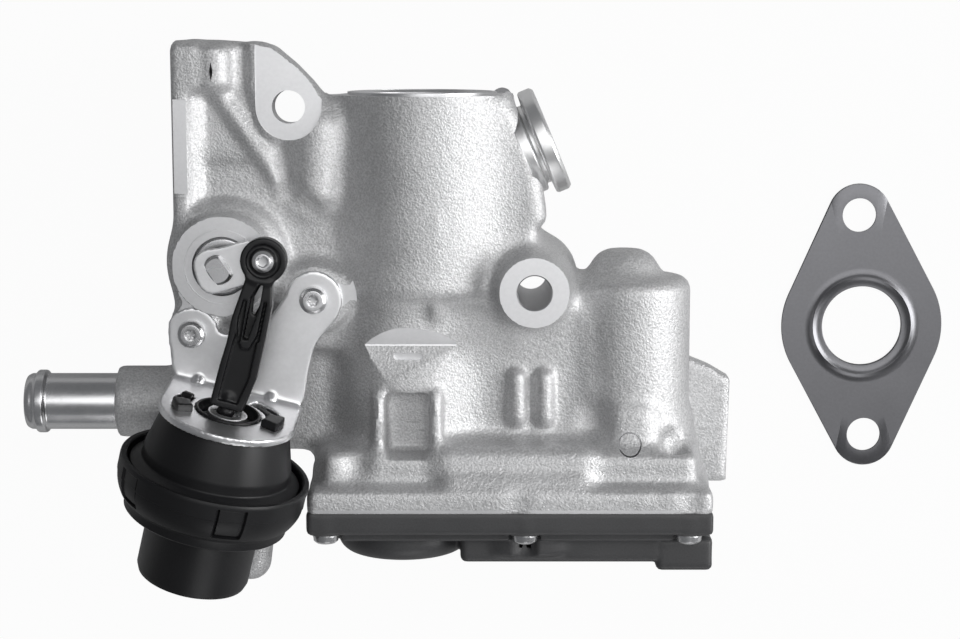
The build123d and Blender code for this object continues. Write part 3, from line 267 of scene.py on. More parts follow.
def make_wear_group():
    group, entry, leave = new_group("wear", {"Scale": 60.0}, ["Cloud", "Fleck"])
    cloud = noise(group, entry.outputs["Scale"], 3.0)
    fleck = noise(group, blend(group, "MULTIPLY", entry.outputs["Scale"], 9.0), 4.0)
    group.links.new(ramp(group, cloud, 0.3, 0.7, 0.0, 1.0), leave.inputs["Cloud"])
    group.links.new(ramp(group, fleck, 0.62, 0.74, 0.0, 1.0), leave.inputs["Fleck"])
    return group


grain_group = make_grain_group()
wear_group = make_wear_group()


# %% A surface material from plain values
def finish(name, colour, metallic, rough, grain=1500.0, bump=0.2, depth=0.00005, shade=0.08, cloud=0.05,
           rough_span=0.08, wear=60.0, coarse=0.35, gleam=0.5):
    """Principled material: the colour varies by shade (fine) and cloud (broad), roughness by rough_span."""
    material = bpy.data.materials.new(name)
    material.use_nodes = True
    tree = material.node_tree
    shader = tree.nodes["Principled BSDF"]
    shader.inputs["Metallic"].default_value = metallic
    shader.inputs["Specular IOR Level"].default_value = gleam
    grains = tree.nodes.new("ShaderNodeGroup")
    grains.node_tree = grain_group
    grains.inputs["Scale"].default_value = grain
    grains.inputs["Coarse"].default_value = coarse
    wears = tree.nodes.new("ShaderNodeGroup")
    wears.node_tree = wear_group
    wears.inputs["Scale"].default_value = wear
    fine = ramp(tree, grains.outputs["Shade"], 0.0, 1.0, 1.0 - shade, 1.0 + shade)
    broad = ramp(tree, wears.outputs["Cloud"], 0.0, 1.0, 1.0 - cloud, 1.0 + cloud)
    level = blend(tree, "MULTIPLY", fine, broad)
    tint = tree.nodes.new("ShaderNodeVectorMath")
    tint.operation = "SCALE"
    tint.inputs[0].default_value = colour
    tree.links.new(level, tint.inputs["Scale"])
    tree.links.new(tint.outputs["Vector"], shader.inputs["Base Color"])
    tree.links.new(ramp(tree, wears.outputs["Cloud"], 0.0, 1.0, rough - rough_span / 2, rough + rough_span / 2),
                   shader.inputs["Roughness"])
    relief = tree.nodes.new("ShaderNodeBump")
    relief.inputs["Strength"].default_value = bump
    relief.inputs["Distance"].default_value = depth
    tree.links.new(grains.outputs["Height"], relief.inputs["Height"])
    tree.links.new(relief.outputs["Normal"], shader.inputs["Normal"])
    return material


finishes = {
    "cast_aluminium": finish("cast_aluminium", (0.64, 0.64, 0.645), 0.70, 0.52, grain=1700, bump=0.9,
                             depth=0.00022, shade=0.16, cloud=0.06, coarse=0.8),
    "machined_aluminium": finish("machined_aluminium", (0.80, 0.80, 0.81), 1.0, 0.38, grain=900, bump=0.05,
                                 shade=0.02, cloud=0.02),
    "turned_aluminium": finish("turned_aluminium", (0.96, 0.96, 0.96), 1.0, 0.34, grain=700, bump=0.04,
                               shade=0.02, cloud=0.02),
    "valve_steel": finish("valve_steel", (0.55, 0.53, 0.50), 1.0, 0.32, bump=0.1, shade=0.05, cloud=0.10),
    "pin_steel": finish("pin_steel", (0.70, 0.70, 0.71), 1.0, 0.28, bump=0.05, shade=0.03),
    "pipe_steel": finish("pipe_steel", (0.78, 0.78, 0.79), 1.0, 0.26, bump=0.08, shade=0.04, cloud=0.05),
    "zinc_sheet": finish("zinc_sheet", (0.90, 0.90, 0.91), 1.0, 0.36, grain=900, bump=0.03, shade=0.02,
                         cloud=0.05),
    "zinc_screw": finish("zinc_screw", (0.74, 0.74, 0.75), 1.0, 0.30, bump=0.06, shade=0.05, cloud=0.08),
    "bush_bronze": finish("bush_bronze", (0.52, 0.38, 0.20), 1.0, 0.40, bump=0.2, shade=0.08),
    "contact_brass": finish("contact_brass", (0.75, 0.60, 0.32), 1.0, 0.25, bump=0.05, shade=0.04),
    "seal_rubber": finish("seal_rubber", (0.06, 0.06, 0.06), 0.0, 0.70, grain=1200, bump=0.2, shade=0.1),
    "black_plastic": finish("black_plastic", (0.009, 0.009, 0.010), 0.0, 0.42, grain=2200, bump=0.12,
                            shade=0.10, cloud=0.08, gleam=0.35),
    "link_plastic": finish("link_plastic", (0.006, 0.006, 0.007), 0.0, 0.34, grain=2200, bump=0.08,
                           shade=0.10, cloud=0.08, gleam=0.45),
    "cover_plastic": finish("cover_plastic", (0.055, 0.055, 0.057), 0.0, 0.45, grain=2200, bump=0.12,
                            shade=0.10, cloud=0.08),
    "inner_plastic": finish("inner_plastic", (0.10, 0.10, 0.11), 0.0, 0.50, grain=2000, bump=0.1),
    "gear_plastic": finish("gear_plastic", (0.74, 0.72, 0.66), 0.0, 0.42, grain=2000, bump=0.08, shade=0.04),
    "magnet_dark": finish("magnet_dark", (0.12, 0.12, 0.12), 0.6, 0.55, grain=2400, bump=0.2, shade=0.1),
    "gasket_steel": finish("gasket_steel", (0.20, 0.20, 0.21), 1.0, 0.34, grain=1200, bump=0.05, shade=0.03,
                           cloud=0.05),
}
slot_of = {part["node"]: part["material_slot"] for part in frame["record"]["subparts"]}


def paint(obj, material):
    """Puts one material on all of an object's slots."""
    if not obj.data.materials:
        obj.data.materials.append(material)
    for index in range(len(obj.material_slots)):
        obj.material_slots[index].link = "OBJECT"
        obj.material_slots[index].material = material


for name, obj in nodes.items():
    paint(obj, finishes[slot_of[name]])
print("materials", len(finishes), "on", len(nodes), "nodes")


# %% [markdown]
# New pieces come in three kinds. A turned piece is a grid of two parameters, the angle round an axis and the place
# along a profile. A cast or moulded piece is a solid described by distances: every point of a box of space gets
# its distance to the piece, and the surface runs where that distance is nought. Faces that a cutter leaves sharp
# are taken out of the casting with exact cutting bodies, which also bring the machined finish with them.


# %% Mesh from arrays
def piece(name, points, faces, material, body, smooth_deg=35.0):
    """Object from an (n, 3) array in millimetres and an (m, 3) or (m, 4) array of corners."""
    faces = np.asarray(faces, np.int32)
    mesh = bpy.data.meshes.new(name)
    mesh.vertices.add(len(points))
    mesh.vertices.foreach_set("co", (np.asarray(points, np.float32) * MM).ravel())
    mesh.loops.add(faces.size)
    mesh.loops.foreach_set("vertex_index", faces.ravel())
    mesh.polygons.add(len(faces))
    mesh.polygons.foreach_set("loop_start", np.arange(0, faces.size, faces.shape[1], dtype=np.int32))
    mesh.update(calc_edges=True)
    mesh.polygons.foreach_set("use_smooth", np.ones(len(mesh.polygons), bool))
    mesh.set_sharp_from_angle(angle=radians(smooth_deg))
    obj = bpy.data.objects.new(name, mesh)
    bpy.context.scene.collection.objects.link(obj)
    mesh.materials.append(finishes[material])
    if body:
        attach(obj, body)
    return obj


def stands_for(obj, slot, *hidden):
    """Hides the CAD nodes that a finished piece takes the place of; the piece and its material slot are not used."""
    if hidden:
        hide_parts(*hidden)


def grid_faces(rows, columns):
    """Quads of a grid closed both ways, whose point (i, j) has number i * columns + j."""
    i, j = np.arange(rows)[:, None], np.arange(columns)[None, :]
    next_i, next_j = (i + 1) % rows, (j + 1) % columns
    quads = [i * columns + j, next_i * columns + j, next_i * columns + next_j, i * columns + next_j]
    return np.stack([np.broadcast_to(q, (rows, columns)) for q in quads], -1).reshape(-1, 4)


def welded(points, quads):
    """Triangles of a grid after points that coincide are made one; they face out of the body."""
    keys = np.round(points * 1e4).astype(np.int64)
    _, first, same = np.unique(keys, axis=0, return_index=True, return_inverse=True)
    same = same.reshape(-1)
    points, quads = points[first], same[quads]
    triangles = np.concatenate([quads[:, (0, 1, 2)], quads[:, (0, 2, 3)]])
    a, b, c = triangles.T
    triangles = triangles[(a != b) & (b != c) & (c != a)]
    a, b, c = points[triangles.T]
    if np.einsum("ij,ij->", a, np.cross(b, c)) < 0:
        triangles = triangles[:, ::-1]
    return points, triangles


def softened(corners, radius, steps=6):
    """Closed outline with its corners rounded. From radius before a corner to radius after it runs the curve
    (1-u)(1-u) a + 2u(1-u) c + u u b, where c is the corner and a and b are the two ends. A corner on the axis
    of a turned piece (first number nought) stays sharp."""
    c = np.asarray(corners, float)
    radius = np.where(c[:, 0] == 0, 0.0, radius)[:, None]
    ends = []
    for other in (np.roll(c, 1, axis=0), np.roll(c, -1, axis=0)):
        length = np.linalg.norm(other - c, axis=1, keepdims=True)
        ends.append(c + (other - c) * np.minimum(radius, length * 0.49) / length)
    u = np.linspace(0, 1, steps)[None, :, None]
    a, b = [end[:, None] for end in ends]
    return ((1 - u) ** 2 * a + 2 * u * (1 - u) * c[:, None] + u ** 2 * b).reshape(-1, 2)


def turned(profile, place, steps=128, shape=None):
    """Body of revolution. Profile point (r, s) at angle t lies at origin + r cos t x + r sin t y + s z.
    The radii may first be changed by shape(r, t, s)."""
    origin, x, y, z = place
    r, s = np.asarray(profile, float).T
    t = np.linspace(0, 2 * pi, steps, endpoint=False)[:, None]
    radii = np.broadcast_to(r, (steps, len(r)))
    if shape:
        radii = shape(radii, t, s[None, :])
    level = np.broadcast_to(s, radii.shape)
    numbers = (radii * np.cos(t), radii * np.sin(t), level)
    points = origin + sum(number[..., None] * way for number, way in zip(numbers, (x, y, z)))
    return welded(points.reshape(-1, 3), grid_faces(*radii.shape))


def prism(outline, span, axis=2):
    """Body between two equal outlines across an axis. The outline gives the other two numbers in turning order;
    its mean point closes each end, so the outline must be seen whole from there."""
    outline = np.asarray(outline, float)
    mean = np.broadcast_to(outline.mean(axis=0), outline.shape)
    rings = np.stack([mean, outline, outline, mean], axis=1)
    points = np.zeros((len(outline), 4, 3))
    points[..., (axis + 1) % 3] = rings[..., 0]
    points[..., (axis + 2) % 3] = rings[..., 1]
    points[..., axis] = np.array((span[0], span[0], span[1], span[1]))
    return welded(points.reshape(-1, 3), grid_faces(len(outline), 4))


def block(x, y, z):
    """Box as a prism."""
    return prism([(x[0], y[0]), (x[1], y[0]), (x[1], y[1]), (x[0], y[1])], z)


def drill(axis, first, second, span, radius, steps=64):
    """Plain cylinder to cut with."""
    return turned([(0, span[0]), (radius, span[0]), (radius, span[1]), (0, span[1])], along(axis, first, second), steps)


def part_finishes(mesh):
    """Marks each edge between two finishes as sharp, so that no shading runs from one to the other."""
    corners, kinds = np.empty(len(mesh.polygons), np.int32), np.empty(len(mesh.polygons), np.int32)
    mesh.polygons.foreach_get("loop_total", corners)
    mesh.polygons.foreach_get("material_index", kinds)
    edges = np.empty(len(mesh.loops), np.int32)
    mesh.loops.foreach_get("edge_index", edges)
    kinds = np.repeat(kinds, corners)
    low, high = np.full(len(mesh.edges), 99), np.full(len(mesh.edges), -1)
    np.minimum.at(low, edges, kinds)
    np.maximum.at(high, edges, kinds)
    sharp = np.empty(len(mesh.edges), bool)
    mesh.edges.foreach_get("use_edge_sharp", sharp)
    mesh.edges.foreach_set("use_edge_sharp", sharp | (low < high))


def machine(obj, tools, material):
    """Takes every tool out of the object; the faces that this leaves carry the tools' material."""
    helpers = []
    for number, (points, faces) in enumerate(tools):
        helper = piece(f"cutter_{number}", points, faces, material, None)
        cut = obj.modifiers.new(helper.name, "BOOLEAN")
        cut.operation = "DIFFERENCE"
        cut.solver = "MANIFOLD"
        cut.material_mode = "TRANSFER"
        cut.object = helper
        helpers.append(helper)
    graph = bpy.context.evaluated_depsgraph_get()
    mesh = bpy.data.meshes.new_from_object(obj.evaluated_get(graph))
    obj.modifiers.clear()
    obj.data = mesh
    for helper in helpers:
        bpy.data.meshes.remove(helper.data)
    mesh.polygons.foreach_set("use_smooth", np.ones(len(mesh.polygons), bool))
    mesh.set_sharp_from_angle(angle=radians(35))
    part_finishes(mesh)
    print(obj.name, "after", len(tools), "cuts:", len(mesh.polygons), "faces,", len(mesh.materials), "finishes")


# %% [markdown]
# Distances to simple bodies, each for whole arrays at once; s is the space, a tuple of three arrays that hold the
# places of its points. A box with rounded edges is the distance to a smaller box less the rounding. A bar is the
# same rule in two numbers: how far out from its axis a point lies, and how far along. Two bodies are joined by
# a soft minimum, which leaves a fillet of the foundry's kind.


# %% Spaces
def space(low, high, cell):
    """First corner of a box of space and its points along X, Y and Z, shaped so that they combine to a grid."""
    start = np.asarray(low, float) - 2.5 * cell
    steps = np.ceil((np.asarray(high, float) + 2.5 * cell - start) / cell).astype(int) + 1
    axes = [start[i] + cell * np.arange(steps[i]) for i in range(3)]
    return start, (axes[0][:, None, None], axes[1][None, :, None], axes[2][None, None, :])


def seen_from(place, s):
    """The same points in numbers along the three directions of a place."""
    origin, *ways = place
    return tuple(sum((s[i] - origin[i]) * way[i] for i in range(3)) for way in ways)


# %% Distance functions
def rounded(out, along, edge):
    """Distance of a body from its two distances, across and along, with a rounded rim."""
    out, along = out + edge, along + edge
    outside = np.sqrt(np.maximum(out, 0) ** 2 + np.maximum(along, 0) ** 2)
    return outside + np.minimum(np.maximum(out, along), 0) - edge


def boxed(s, x, y, z, edge):
    """Distance to a box given by three (low, high) ranges, with its edges rounded by edge."""
    q = [np.abs(p - (a + b) / 2) - ((b - a) / 2 - edge) for p, (a, b) in zip(s, (x, y, z))]
    outside = np.sqrt(sum(np.maximum(v, 0) ** 2 for v in q))
    return outside + np.minimum(np.maximum(np.maximum(q[0], q[1]), q[2]), 0) - edge


def bar(s, axis, at, span, radius, edge, end_radius=None):
    """Distance to a bar along axis 0, 1 or 2 through the point at (its two other numbers), over a span."""
    a, b = [p for i, p in enumerate(s) if i != axis]
    share = np.clip((s[axis] - span[0]) / (span[1] - span[0]), 0, 1)
    grow = 0.0 if end_radius is None else (end_radius - radius) * share
    out = np.sqrt((a - at[0]) ** 2 + (b - at[1]) ** 2) - (radius + grow)
    return rounded(out, np.abs(s[axis] - (span[0] + span[1]) / 2) - (span[1] - span[0]) / 2, edge)


def stick(s, start, end, start_radius, end_radius):
    """Distance to a round-ended stick that tapers from start to end."""
    start, end = np.array(start, float), np.array(end, float)
    way = end - start
    share = np.clip(sum((s[i] - start[i]) * way[i] for i in range(3)) / (way @ way), 0, 1)
    gap = np.sqrt(sum((s[i] - start[i] - share * way[i]) ** 2 for i in range(3)))
    return gap - (start_radius + share * (end_radius - start_radius))


def outline_distance(a, b, corners):
    """Signed distance in a plane to a closed outline: nearest edge, negative where an odd number is crossed."""
    near = np.full(np.broadcast(a, b).shape, 1e9)
    inside = np.zeros(near.shape, bool)
    for (ax, ay), (bx, by) in zip(corners, corners[1:] + corners[:1]):
        wx, wy = bx - ax, by - ay
        share = np.clip(((a - ax) * wx + (b - ay) * wy) / (wx * wx + wy * wy), 0, 1)
        near = np.minimum(near, (a - ax - share * wx) ** 2 + (b - ay - share * wy) ** 2)
        inside ^= ((ay > b) != (by > b)) & (a < ax + wx * (b - ay) / (wy if wy else 1e-9))
    return np.where(inside, -1, 1) * np.sqrt(near)


def plate(s, corners, z, edge, corner=0.0):
    """Distance to a plate whose outline is seen along Z, with its corners and edges rounded."""
    out = outline_distance(s[0][:, :, 0], s[1][:, :, 0], corners)[:, :, None] - corner
    return rounded(out, np.abs(s[2] - (z[0] + z[1]) / 2) - (z[1] - z[0]) / 2, edge)


def join(a, b, soft):
    """Soft minimum: two bodies become one with a fillet about soft millimetres wide."""
    share = np.clip(0.5 + 0.5 * (b - a) / soft, 0, 1)
    return b * (1 - share) + a * share - soft * share * (1 - share)


def carve(a, b, soft):
    """Soft difference: body b is taken out of a, and the edge is rounded."""
    return -join(-a, b, soft)


# %% Surface of a distance field
def skin(field, start, cell):
    """Points and quads of the surface where the field is nought: one point in each cube that it crosses,
    at the mean of the crossings on the cube's edges, and one quad round each crossed grid line."""
    field = np.asarray(field, np.float32)
    count = np.array(field.shape) - 1
    total = np.zeros((*count, 3), np.float32)
    hits = np.zeros(count, np.float32)
    for axis in range(3):
        others = [i for i in range(3) if i != axis]
        for a in (0, 1):
            for b in (0, 1):
                near = [0, 0, 0]
                near[others[0]], near[others[1]] = a, b
                far = list(near)
                far[axis] = 1
                f0 = field[tuple(slice(s, s + n) for s, n in zip(near, count))]
                f1 = field[tuple(slice(s, s + n) for s, n in zip(far, count))]
                crossed = (f0 < 0) != (f1 < 0)
                share = np.where(crossed, f0 / np.where(crossed, f0 - f1, 1), 0)
                hits += crossed
                for i in range(3):
                    total[..., i] += crossed * (near[i] if i != axis else 0) + (share if i == axis else 0)
    used = hits > 0
    number = np.full(used.shape, -1, np.int64)
    number[used] = np.arange(used.sum())
    points = (np.argwhere(used) + total[used] / hits[used][:, None]) * cell + start
    quads = []
    for axis in range(3):
        i, j = [k for k in range(3) if k != axis]
        low = [slice(1, -1)] * 3
        high = list(low)
        low[axis], high[axis] = slice(0, -1), slice(1, None)
        first, second = field[tuple(low)] < 0, field[tuple(high)] < 0
        for rising in (True, False):
            where = np.argwhere((first & ~second) if rising else (~first & second))
            where[:, i] += 1
            where[:, j] += 1
            around = []
            for di, dj in ((-1, -1), (0, -1), (0, 0), (-1, 0)):
                cube = where.copy()
                cube[:, i] += di
                cube[:, j] += dj
                around.append(number[tuple(cube.T)])
            ring = np.stack(around, -1)
            quads.append(ring if rising == (axis != 1) else ring[:, ::-1])
    return points, np.concatenate(quads)


print("surface tools ready")

# %% [markdown]
# The casting. On the real valve it is poured aluminium: every corner is round, every inner corner has a fillet, and
# ribs, bosses and lobes grow out of the walls. Modelling that with bevels would take hundreds of edges. Here
# each form is one distance, and the soft minimum grows the fillets by itself. The forms follow the CAD housing's
# sizes, so the bores that are machined afterwards still meet the inner pieces.

# %% Space that holds the casting
cast_cell = 1.12
seal_low, seal_high = corner_mm("cover_seal")
face_y = seal_high[1]
case_x = (seal_low[0] - 0.9, seal_high[0] + 0.9)
case_z = (seal_low[2] - 0.9, seal_high[2] + 0.9)
screw_places = [(x, case_z[1] - 5.7) for x in (-22.6, 33.2, 79.2)]
screw_places += [(x, case_z[0] + 5.7) for x in (-21.9, 16.0, 79.2)]
flange_left = -64.8
cast_start, S = space(*corner_mm("housing"), cast_cell)
print("gear case face", face_y, case_x, case_z)


# %% Column, top port and right wall
def column_forms():
    """Round column on the stem axis, wider cylinder of the top port, and the wall that carries the spigot."""
    solid = bar(S, 1, (0, stem_z), (-46, 14), 20.0, 2.0)
    port = bar(S, 1, (4.2, stem_z), (9, 66.4), 23.6, 1.0)
    solid = join(solid, port, 7.0)
    wall = plate(S, [(8, 63.4), (27.6, 63.4), (30.6, 59), (34.4, 50.5), (37.2, 42), (38.6, 33), (38.8, 29.5),
                     (36.6, 26.5), (36.4, 16), (30, -2), (8, -2)], (28, 61), 4.0, corner=0.5)
    solid = join(solid, wall, 9.0)
    web = plate(S, [(6, 14), (38, 14), (52, 4), (56, -42), (6, -42)], (26, 58.5), 3.0)
    return join(solid, web, 8.0)


# %% Left body: flange, flap chamber, jacket and their ribs
def left_forms():
    """Flange to the cooler, the plate over the flap chamber, the lobe beside the port and the diagonal rib."""
    flange = boxed(S, (flange_left, -57.2), (-8, 78.4), (8, 62.4), 1.6)
    body = boxed(S, (-62, -14), (-8, 52), (20, 57.4), 3.0)
    top = plate(S, [(-64, 46), (-64.2, 78.6), (-40, 78.6), (-36.2, 77.2), (-31, 72.6), (-26.6, 68.0),
                    (-22.7, 63.9), (-14, 62.9), (-10, 46)], (46, 57.6), 1.6)
    solid = join(body, top, 3.0)
    solid = join(solid, flange, 2.5)
    jacket = boxed(S, (-67, -14), (-38, 6), (18, 52.0), 3.5)
    solid = join(solid, jacket, 4.0)
    solid = join(solid, stick(S, (-53.6, 66.5, 57.4), (-33.6, 38.2, 57.2), 2.2, 2.6), 1.8)
    solid = join(solid, bar(S, 1, (-53.4, 57.2), (65.6, 77.8), 5.4, 2.0), 3.0)
    solid = join(solid, stick(S, (-58.8, 75.6, 52), (-48, 75.6, 52), 2.6, 2.0), 3.0)
    ear = plate(S, [(-42.6, 66), (-42.6, 77.4), (-37.2, 76.2), (-31, 71.4), (-26.6, 66.8), (-23.6, 61), (-25.4, 54),
                    (-32.4, 50.6), (-39.4, 54)], (50, 59.5), 0.8, corner=1.0)
    solid = join(solid, ear, 1.6)
    lobe = stick(S, (-25.6, 37.0, 55.5), (-24.6, 54.0, 55.5), 7.0, 7.6)
    solid = join(solid, lobe, 4.0)
    groove = stick(S, (-57.6, 34, 62.0), (-57.6, 63, 62.0), 2.4, 2.4)
    solid = carve(solid, groove, 1.6)
    channel = stick(S, (-34.8, 49.0, 60.0), (-33.0, 37.0, 60.2), 2.4, 2.6)
    solid = carve(solid, channel, 1.6)
    return carve(solid, stick(S, (-33.0, 37.0, 60.4), (-20.5, 27.6, 61.8), 2.8, 3.2), 2.4)


# %% Bosses for the flap shaft, the bracket, the nipple and the front screw
def boss_forms():
    """Round bosses that stand out of the walls, each a bar with a soft foot."""
    flap = bar(S, 2, (flap_x, flap_y), (20, 61.4), 17.0, 2.5)
    flap = join(flap, bar(S, 2, (flap_x, flap_y), (40, 72.2), 13.9, 0.8), 2.0)
    left_ear = bar(S, 2, (-59.7, -1.9), (20, 62.5), 7.2, 1.0)
    right_ear = bar(S, 2, (-25.7, 7.6), (20, 62.5), 9.6, 1.6)
    nipple = bar(S, 0, (-24.6, 45.0), (-83.9, -60), 10.3, 1.2)
    front_boss = bar(S, 2, (35.6, 10.4), (30, 73.4), 13.6, 1.0, end_radius=9.6)
    return [(flap, 3.0), (left_ear, 2.5), (right_ear, 5.0), (nipple, 3.0), (front_boss, 5.0)]


# %% Motor pot and gear case
def case_forms():
    """Tall pot of the motor with its breather dome and flared foot, the gear case's neck and its flange."""
    pot = bar(S, 1, (motor_x, stem_z), (-46, 12.4), 17.2, 4.0)
    dome = bar(S, 1, (61.9, stem_z), (0, 19.9), 9.8, 6.5)
    pot = join(pot, dome, 5.0)
    flare = bar(S, 1, (motor_x + 0.6, stem_z), (-50, -27), 22.6, 1.0, end_radius=16.4)
    pot = join(pot, flare, 5.0)
    raised = boxed(S, (57.5, 69.0), (-43, -22.6), (50, 64.4), 3.0)
    pot = join(pot, raised, 4.0)
    flange = boxed(S, case_x, (face_y - 1.4, -44.2), case_z, 2.4)
    neck = boxed(S, (case_x[0] + 4, case_x[1] - 4), (-46, -35.0), (case_z[0] + 4, case_z[1] - 5.5), 3.0)
    ledge = boxed(S, (8, 53), (-46, -33.4), (40, 70.6), 4.0)
    step = boxed(S, (10, 51), (-47, -40.6), (40, 73.0), 3.0)
    left_step = boxed(S, (case_x[0] + 1, -8), (-46, -36), (30, 66.0), 5.0)
    solid = join(flange, neck, 3.0)
    for form, soft in ((ledge, 4.0), (step, 3.0), (left_step, 4.0), (pot, 4.0)):
        solid = join(solid, form, soft)
    return solid


# %% Ribs, bumps and feet
def small_forms():
    """Two ribs along the column, two cast bumps beside it, and the faces the valve lies on."""
    left_rib = stick(S, (-7.8, -19.4, 64.7), (-7.8, -44, 66.4), 1.5, 2.0)
    right_rib = stick(S, (8.3, 31, 66.8), (8.3, 4, 65.2), 1.5, 1.4)
    low_rib = stick(S, (8.3, -19.4, 64.7), (8.3, -44, 67.4), 1.5, 1.8)
    forms = [(left_rib, 2.4), (right_rib, 2.4), (low_rib, 2.4)]
    forms += [(stick(S, (x, -26.4, 59.2), (x, -15.4, 59.6), 2.6, 2.4), 2.5) for x in (31.0, 38.8)]
    plate_right = plate(S, [(22, -57), (97.0, -57), (97.8, -24.4), (91, -20.4), (85, -18), (22, -17.6)],
                        (0, 8), 1.6)
    stand = boxed(S, (26, 80), (-44, -22), (4, 34), 3.0)
    lug = stick(S, (-50.5, -46, 6), (-51, -82, 6), 10.5, 6.4)
    lug = np.maximum(lug, boxed(S, (-70, -30), (-92, -36), (0.3, 12), 1.0))
    root = boxed(S, (-60, -30), (-42, -30), (0.3, 24), 3.0)
    rear = plate(S, [(-21, 12), (-9, 31), (-6, 42.5), (0, 44.1), (6, 42.5), (9, 31), (21, 12), (24.8, 0), (21, -12),
                     (9, -31), (6, -42.5), (0, -44.1), (-6, -42.5), (-9, -31), (-21, -12), (-24.8, 0)], (0, 9), 1.2)
    neck = bar(S, 2, (0, 0), (0, stem_z), 19.8, 1.0)
    forms += [(plate_right, 3.0), (stand, 4.0), (lug, 3.0), (root, 3.0), (rear, 2.0), (neck, 4.0)]
    return forms + [(bar(S, 2, (0, side * 34.4), (0, 34), 9.7, 1.0), 4.0) for side in (-1, 1)]


# %% Room for the gears
def gear_room():
    """Wide shallow pan and a smaller deep one behind it, round the screw bosses and the bearing nose."""
    wide = boxed(S, (case_x[0] + 2.9, case_x[1] - 2.9), (-60, -46.4), (case_z[0] + 2.9, case_z[1] - 2.9), 1.0)
    deep = boxed(S, (case_x[0] + 9.0, case_x[1] - 9.0), (-60, -39), (case_z[0] + 6.9, case_z[1] - 12.0), 2.0)
    room = np.minimum(wide, deep)
    for x, z in screw_places:
        room = np.maximum(room, -bar(S, 1, (x, z), (-70, -30), 4.6, 0.1))
    return np.maximum(room, -bar(S, 1, (0, stem_z), (-46, -30), 8.0, 0.1))


# %% All forms joined, hollows and dents taken out
def casting_field():
    field = join(column_forms(), left_forms(), 5.0)
    field = join(field, case_forms(), 5.0)
    for form, soft in boss_forms() + small_forms():
        field = join(field, form, soft)
    pocket = boxed(S, (-6.0, 6.6), (-36.6, -18.6), (57.6, 80), 2.0)
    field = carve(field, pocket, 0.8)
    field = carve(field, gear_room(), 0.6)
    for at, radius in (((52.5, -28.0, 62.0), 4.2), ((75.6, -35.5, 63), 3.4), ((70.0, -46.0, 79.2), 3.2),
                       ((79.0, -48.0, 78.5), 3.6), ((31.0, -49.0, 79.4), 4.0), ((-14, -38, 71.5), 4.0)):
        field = carve(field, stick(S, at, np.array(at) + (0, 2.5, 0), radius, radius), 3.0)
    return field


cast_points, cast_quads = skin(casting_field(), cast_start, cast_cell)
casting = piece("cast_housing", cast_points, cast_quads, "cast_aluminium", "valve_body")
stands_for(casting, "cast_aluminium", "housing")
print("casting points", len(cast_points), "quads", len(cast_quads))

# %% [markdown]
# Machining. The real casting is milled and bored where other parts meet it, and those faces are bright, flat and
# sharp-edged. A distance field on a coarse grid would smear them, so they are cut with exact bodies: drills,
# milling boxes and a ring that leaves the thin bright chamfer along the gear case's face.


# %% Bores along the stem, the motor and the gear case
def stem_cuts():
    """Top port, valve chamber, seat, guide and motor bore, and the flat face of the gear case."""
    top = [(0, 20), (18.5, 20), (18.5, 40), (19.5, 40), (19.5, 63.9), (20.0, 64.6), (20.0, 67), (0, 67)]
    rim = [(21.1, 63.9), (26.8, 63.9), (26.8, 70), (0, 70), (0, 64.7), (21.1, 64.7)]
    cuts = [turned(top, along(1, stem_z, 4.2), 128), turned(rim, along(1, stem_z, 4.2), 128)]
    for span, radius in (((-12.1, 14.1), 12.5), ((14, 20.1), 14.0), ((-47, -13), 6.0), ((-13.1, -10), 8.4)):
        cuts.append(drill(1, stem_z, 0, span, radius))
    cuts.append(drill(1, stem_z, motor_x, (-39, 6.5), 14.9))
    cuts.append(drill(1, stem_z, motor_x, (-38.5, -36), 16.5))
    cuts.append(block((case_x[0] - 5, case_x[1] + 5), (face_y - 8, face_y), (case_z[0] - 5, case_z[1] + 5)))
    return cuts + [drill(1, z, x, (face_y - 2, -45.0), 1.7, 32) for x, z in screw_places]


# %% Faces and holes seen from the front
def front_cuts():
    """Ear, front boss, flap boss, strip on the flange, slit of the small boss and the milled notch."""
    turn = np.linspace(pi, 2 * pi, 40)
    ear = [(-23.2, 90), (-41.6, 90), *zip(-32.4 + 9.2 * np.cos(turn), 60.8 + 9.2 * np.sin(turn))]
    cuts = [prism(ear, (59.0, 70)), drill(2, -32.5, 60.8, (40, 70), 4.6)]
    cuts.append(block((-42, -23), (51, 70.3), (40, 50)))
    cuts.append(drill(2, 35.6, 10.4, (72.0, 80), 15))
    boss = [(0, 20), (4.7, 20), (4.7, 71.6), (5.1, 72.1), (0, 72.1)]
    cuts.append(turned(boss, along(2, 35.6, 10.4), 64))
    cuts.append(drill(2, flap_x, flap_y, (71.4, 76), 16))
    cuts.append(turned([(10.0, 70.7), (10.35, 70.7), (10.35, 73), (10.0, 73)], along(2, flap_x, flap_y), 128))
    cuts.append(drill(2, flap_x, flap_y, (69.0, 73), 8.2))
    cuts.append(drill(2, flap_x, flap_y, (24.5, 69.5), 6.0))
    cuts.append(block((-75, -60.4), (37.0, 63.0), (61.9, 70)))
    notch = [(-5.3, 62.22), (3.4, 68.45), (3.4, 75), (-5.7, 75), (-5.7, 62.3)]
    cuts.append(prism(notch, (-14, 14), axis=0))
    cuts.append(turned([(2.9, 63.8), (3.3, 63.8), (3.3, 70), (2.9, 70)], along(2, 62.6, -33.0), 48))
    cuts.append(block((-60, 110), (face_y - 1, face_y + 1.1), (case_z[1] - 0.25, case_z[1] + 3)))
    half = np.linspace(-pi / 2, pi / 2, 12)
    slot = [*zip(3.8 + np.cos(half), -8.6 + np.sin(half)), *zip(-2.6 - np.cos(half), -8.6 - np.sin(half))]
    return cuts + [prism(slot, (61.6, 70))]


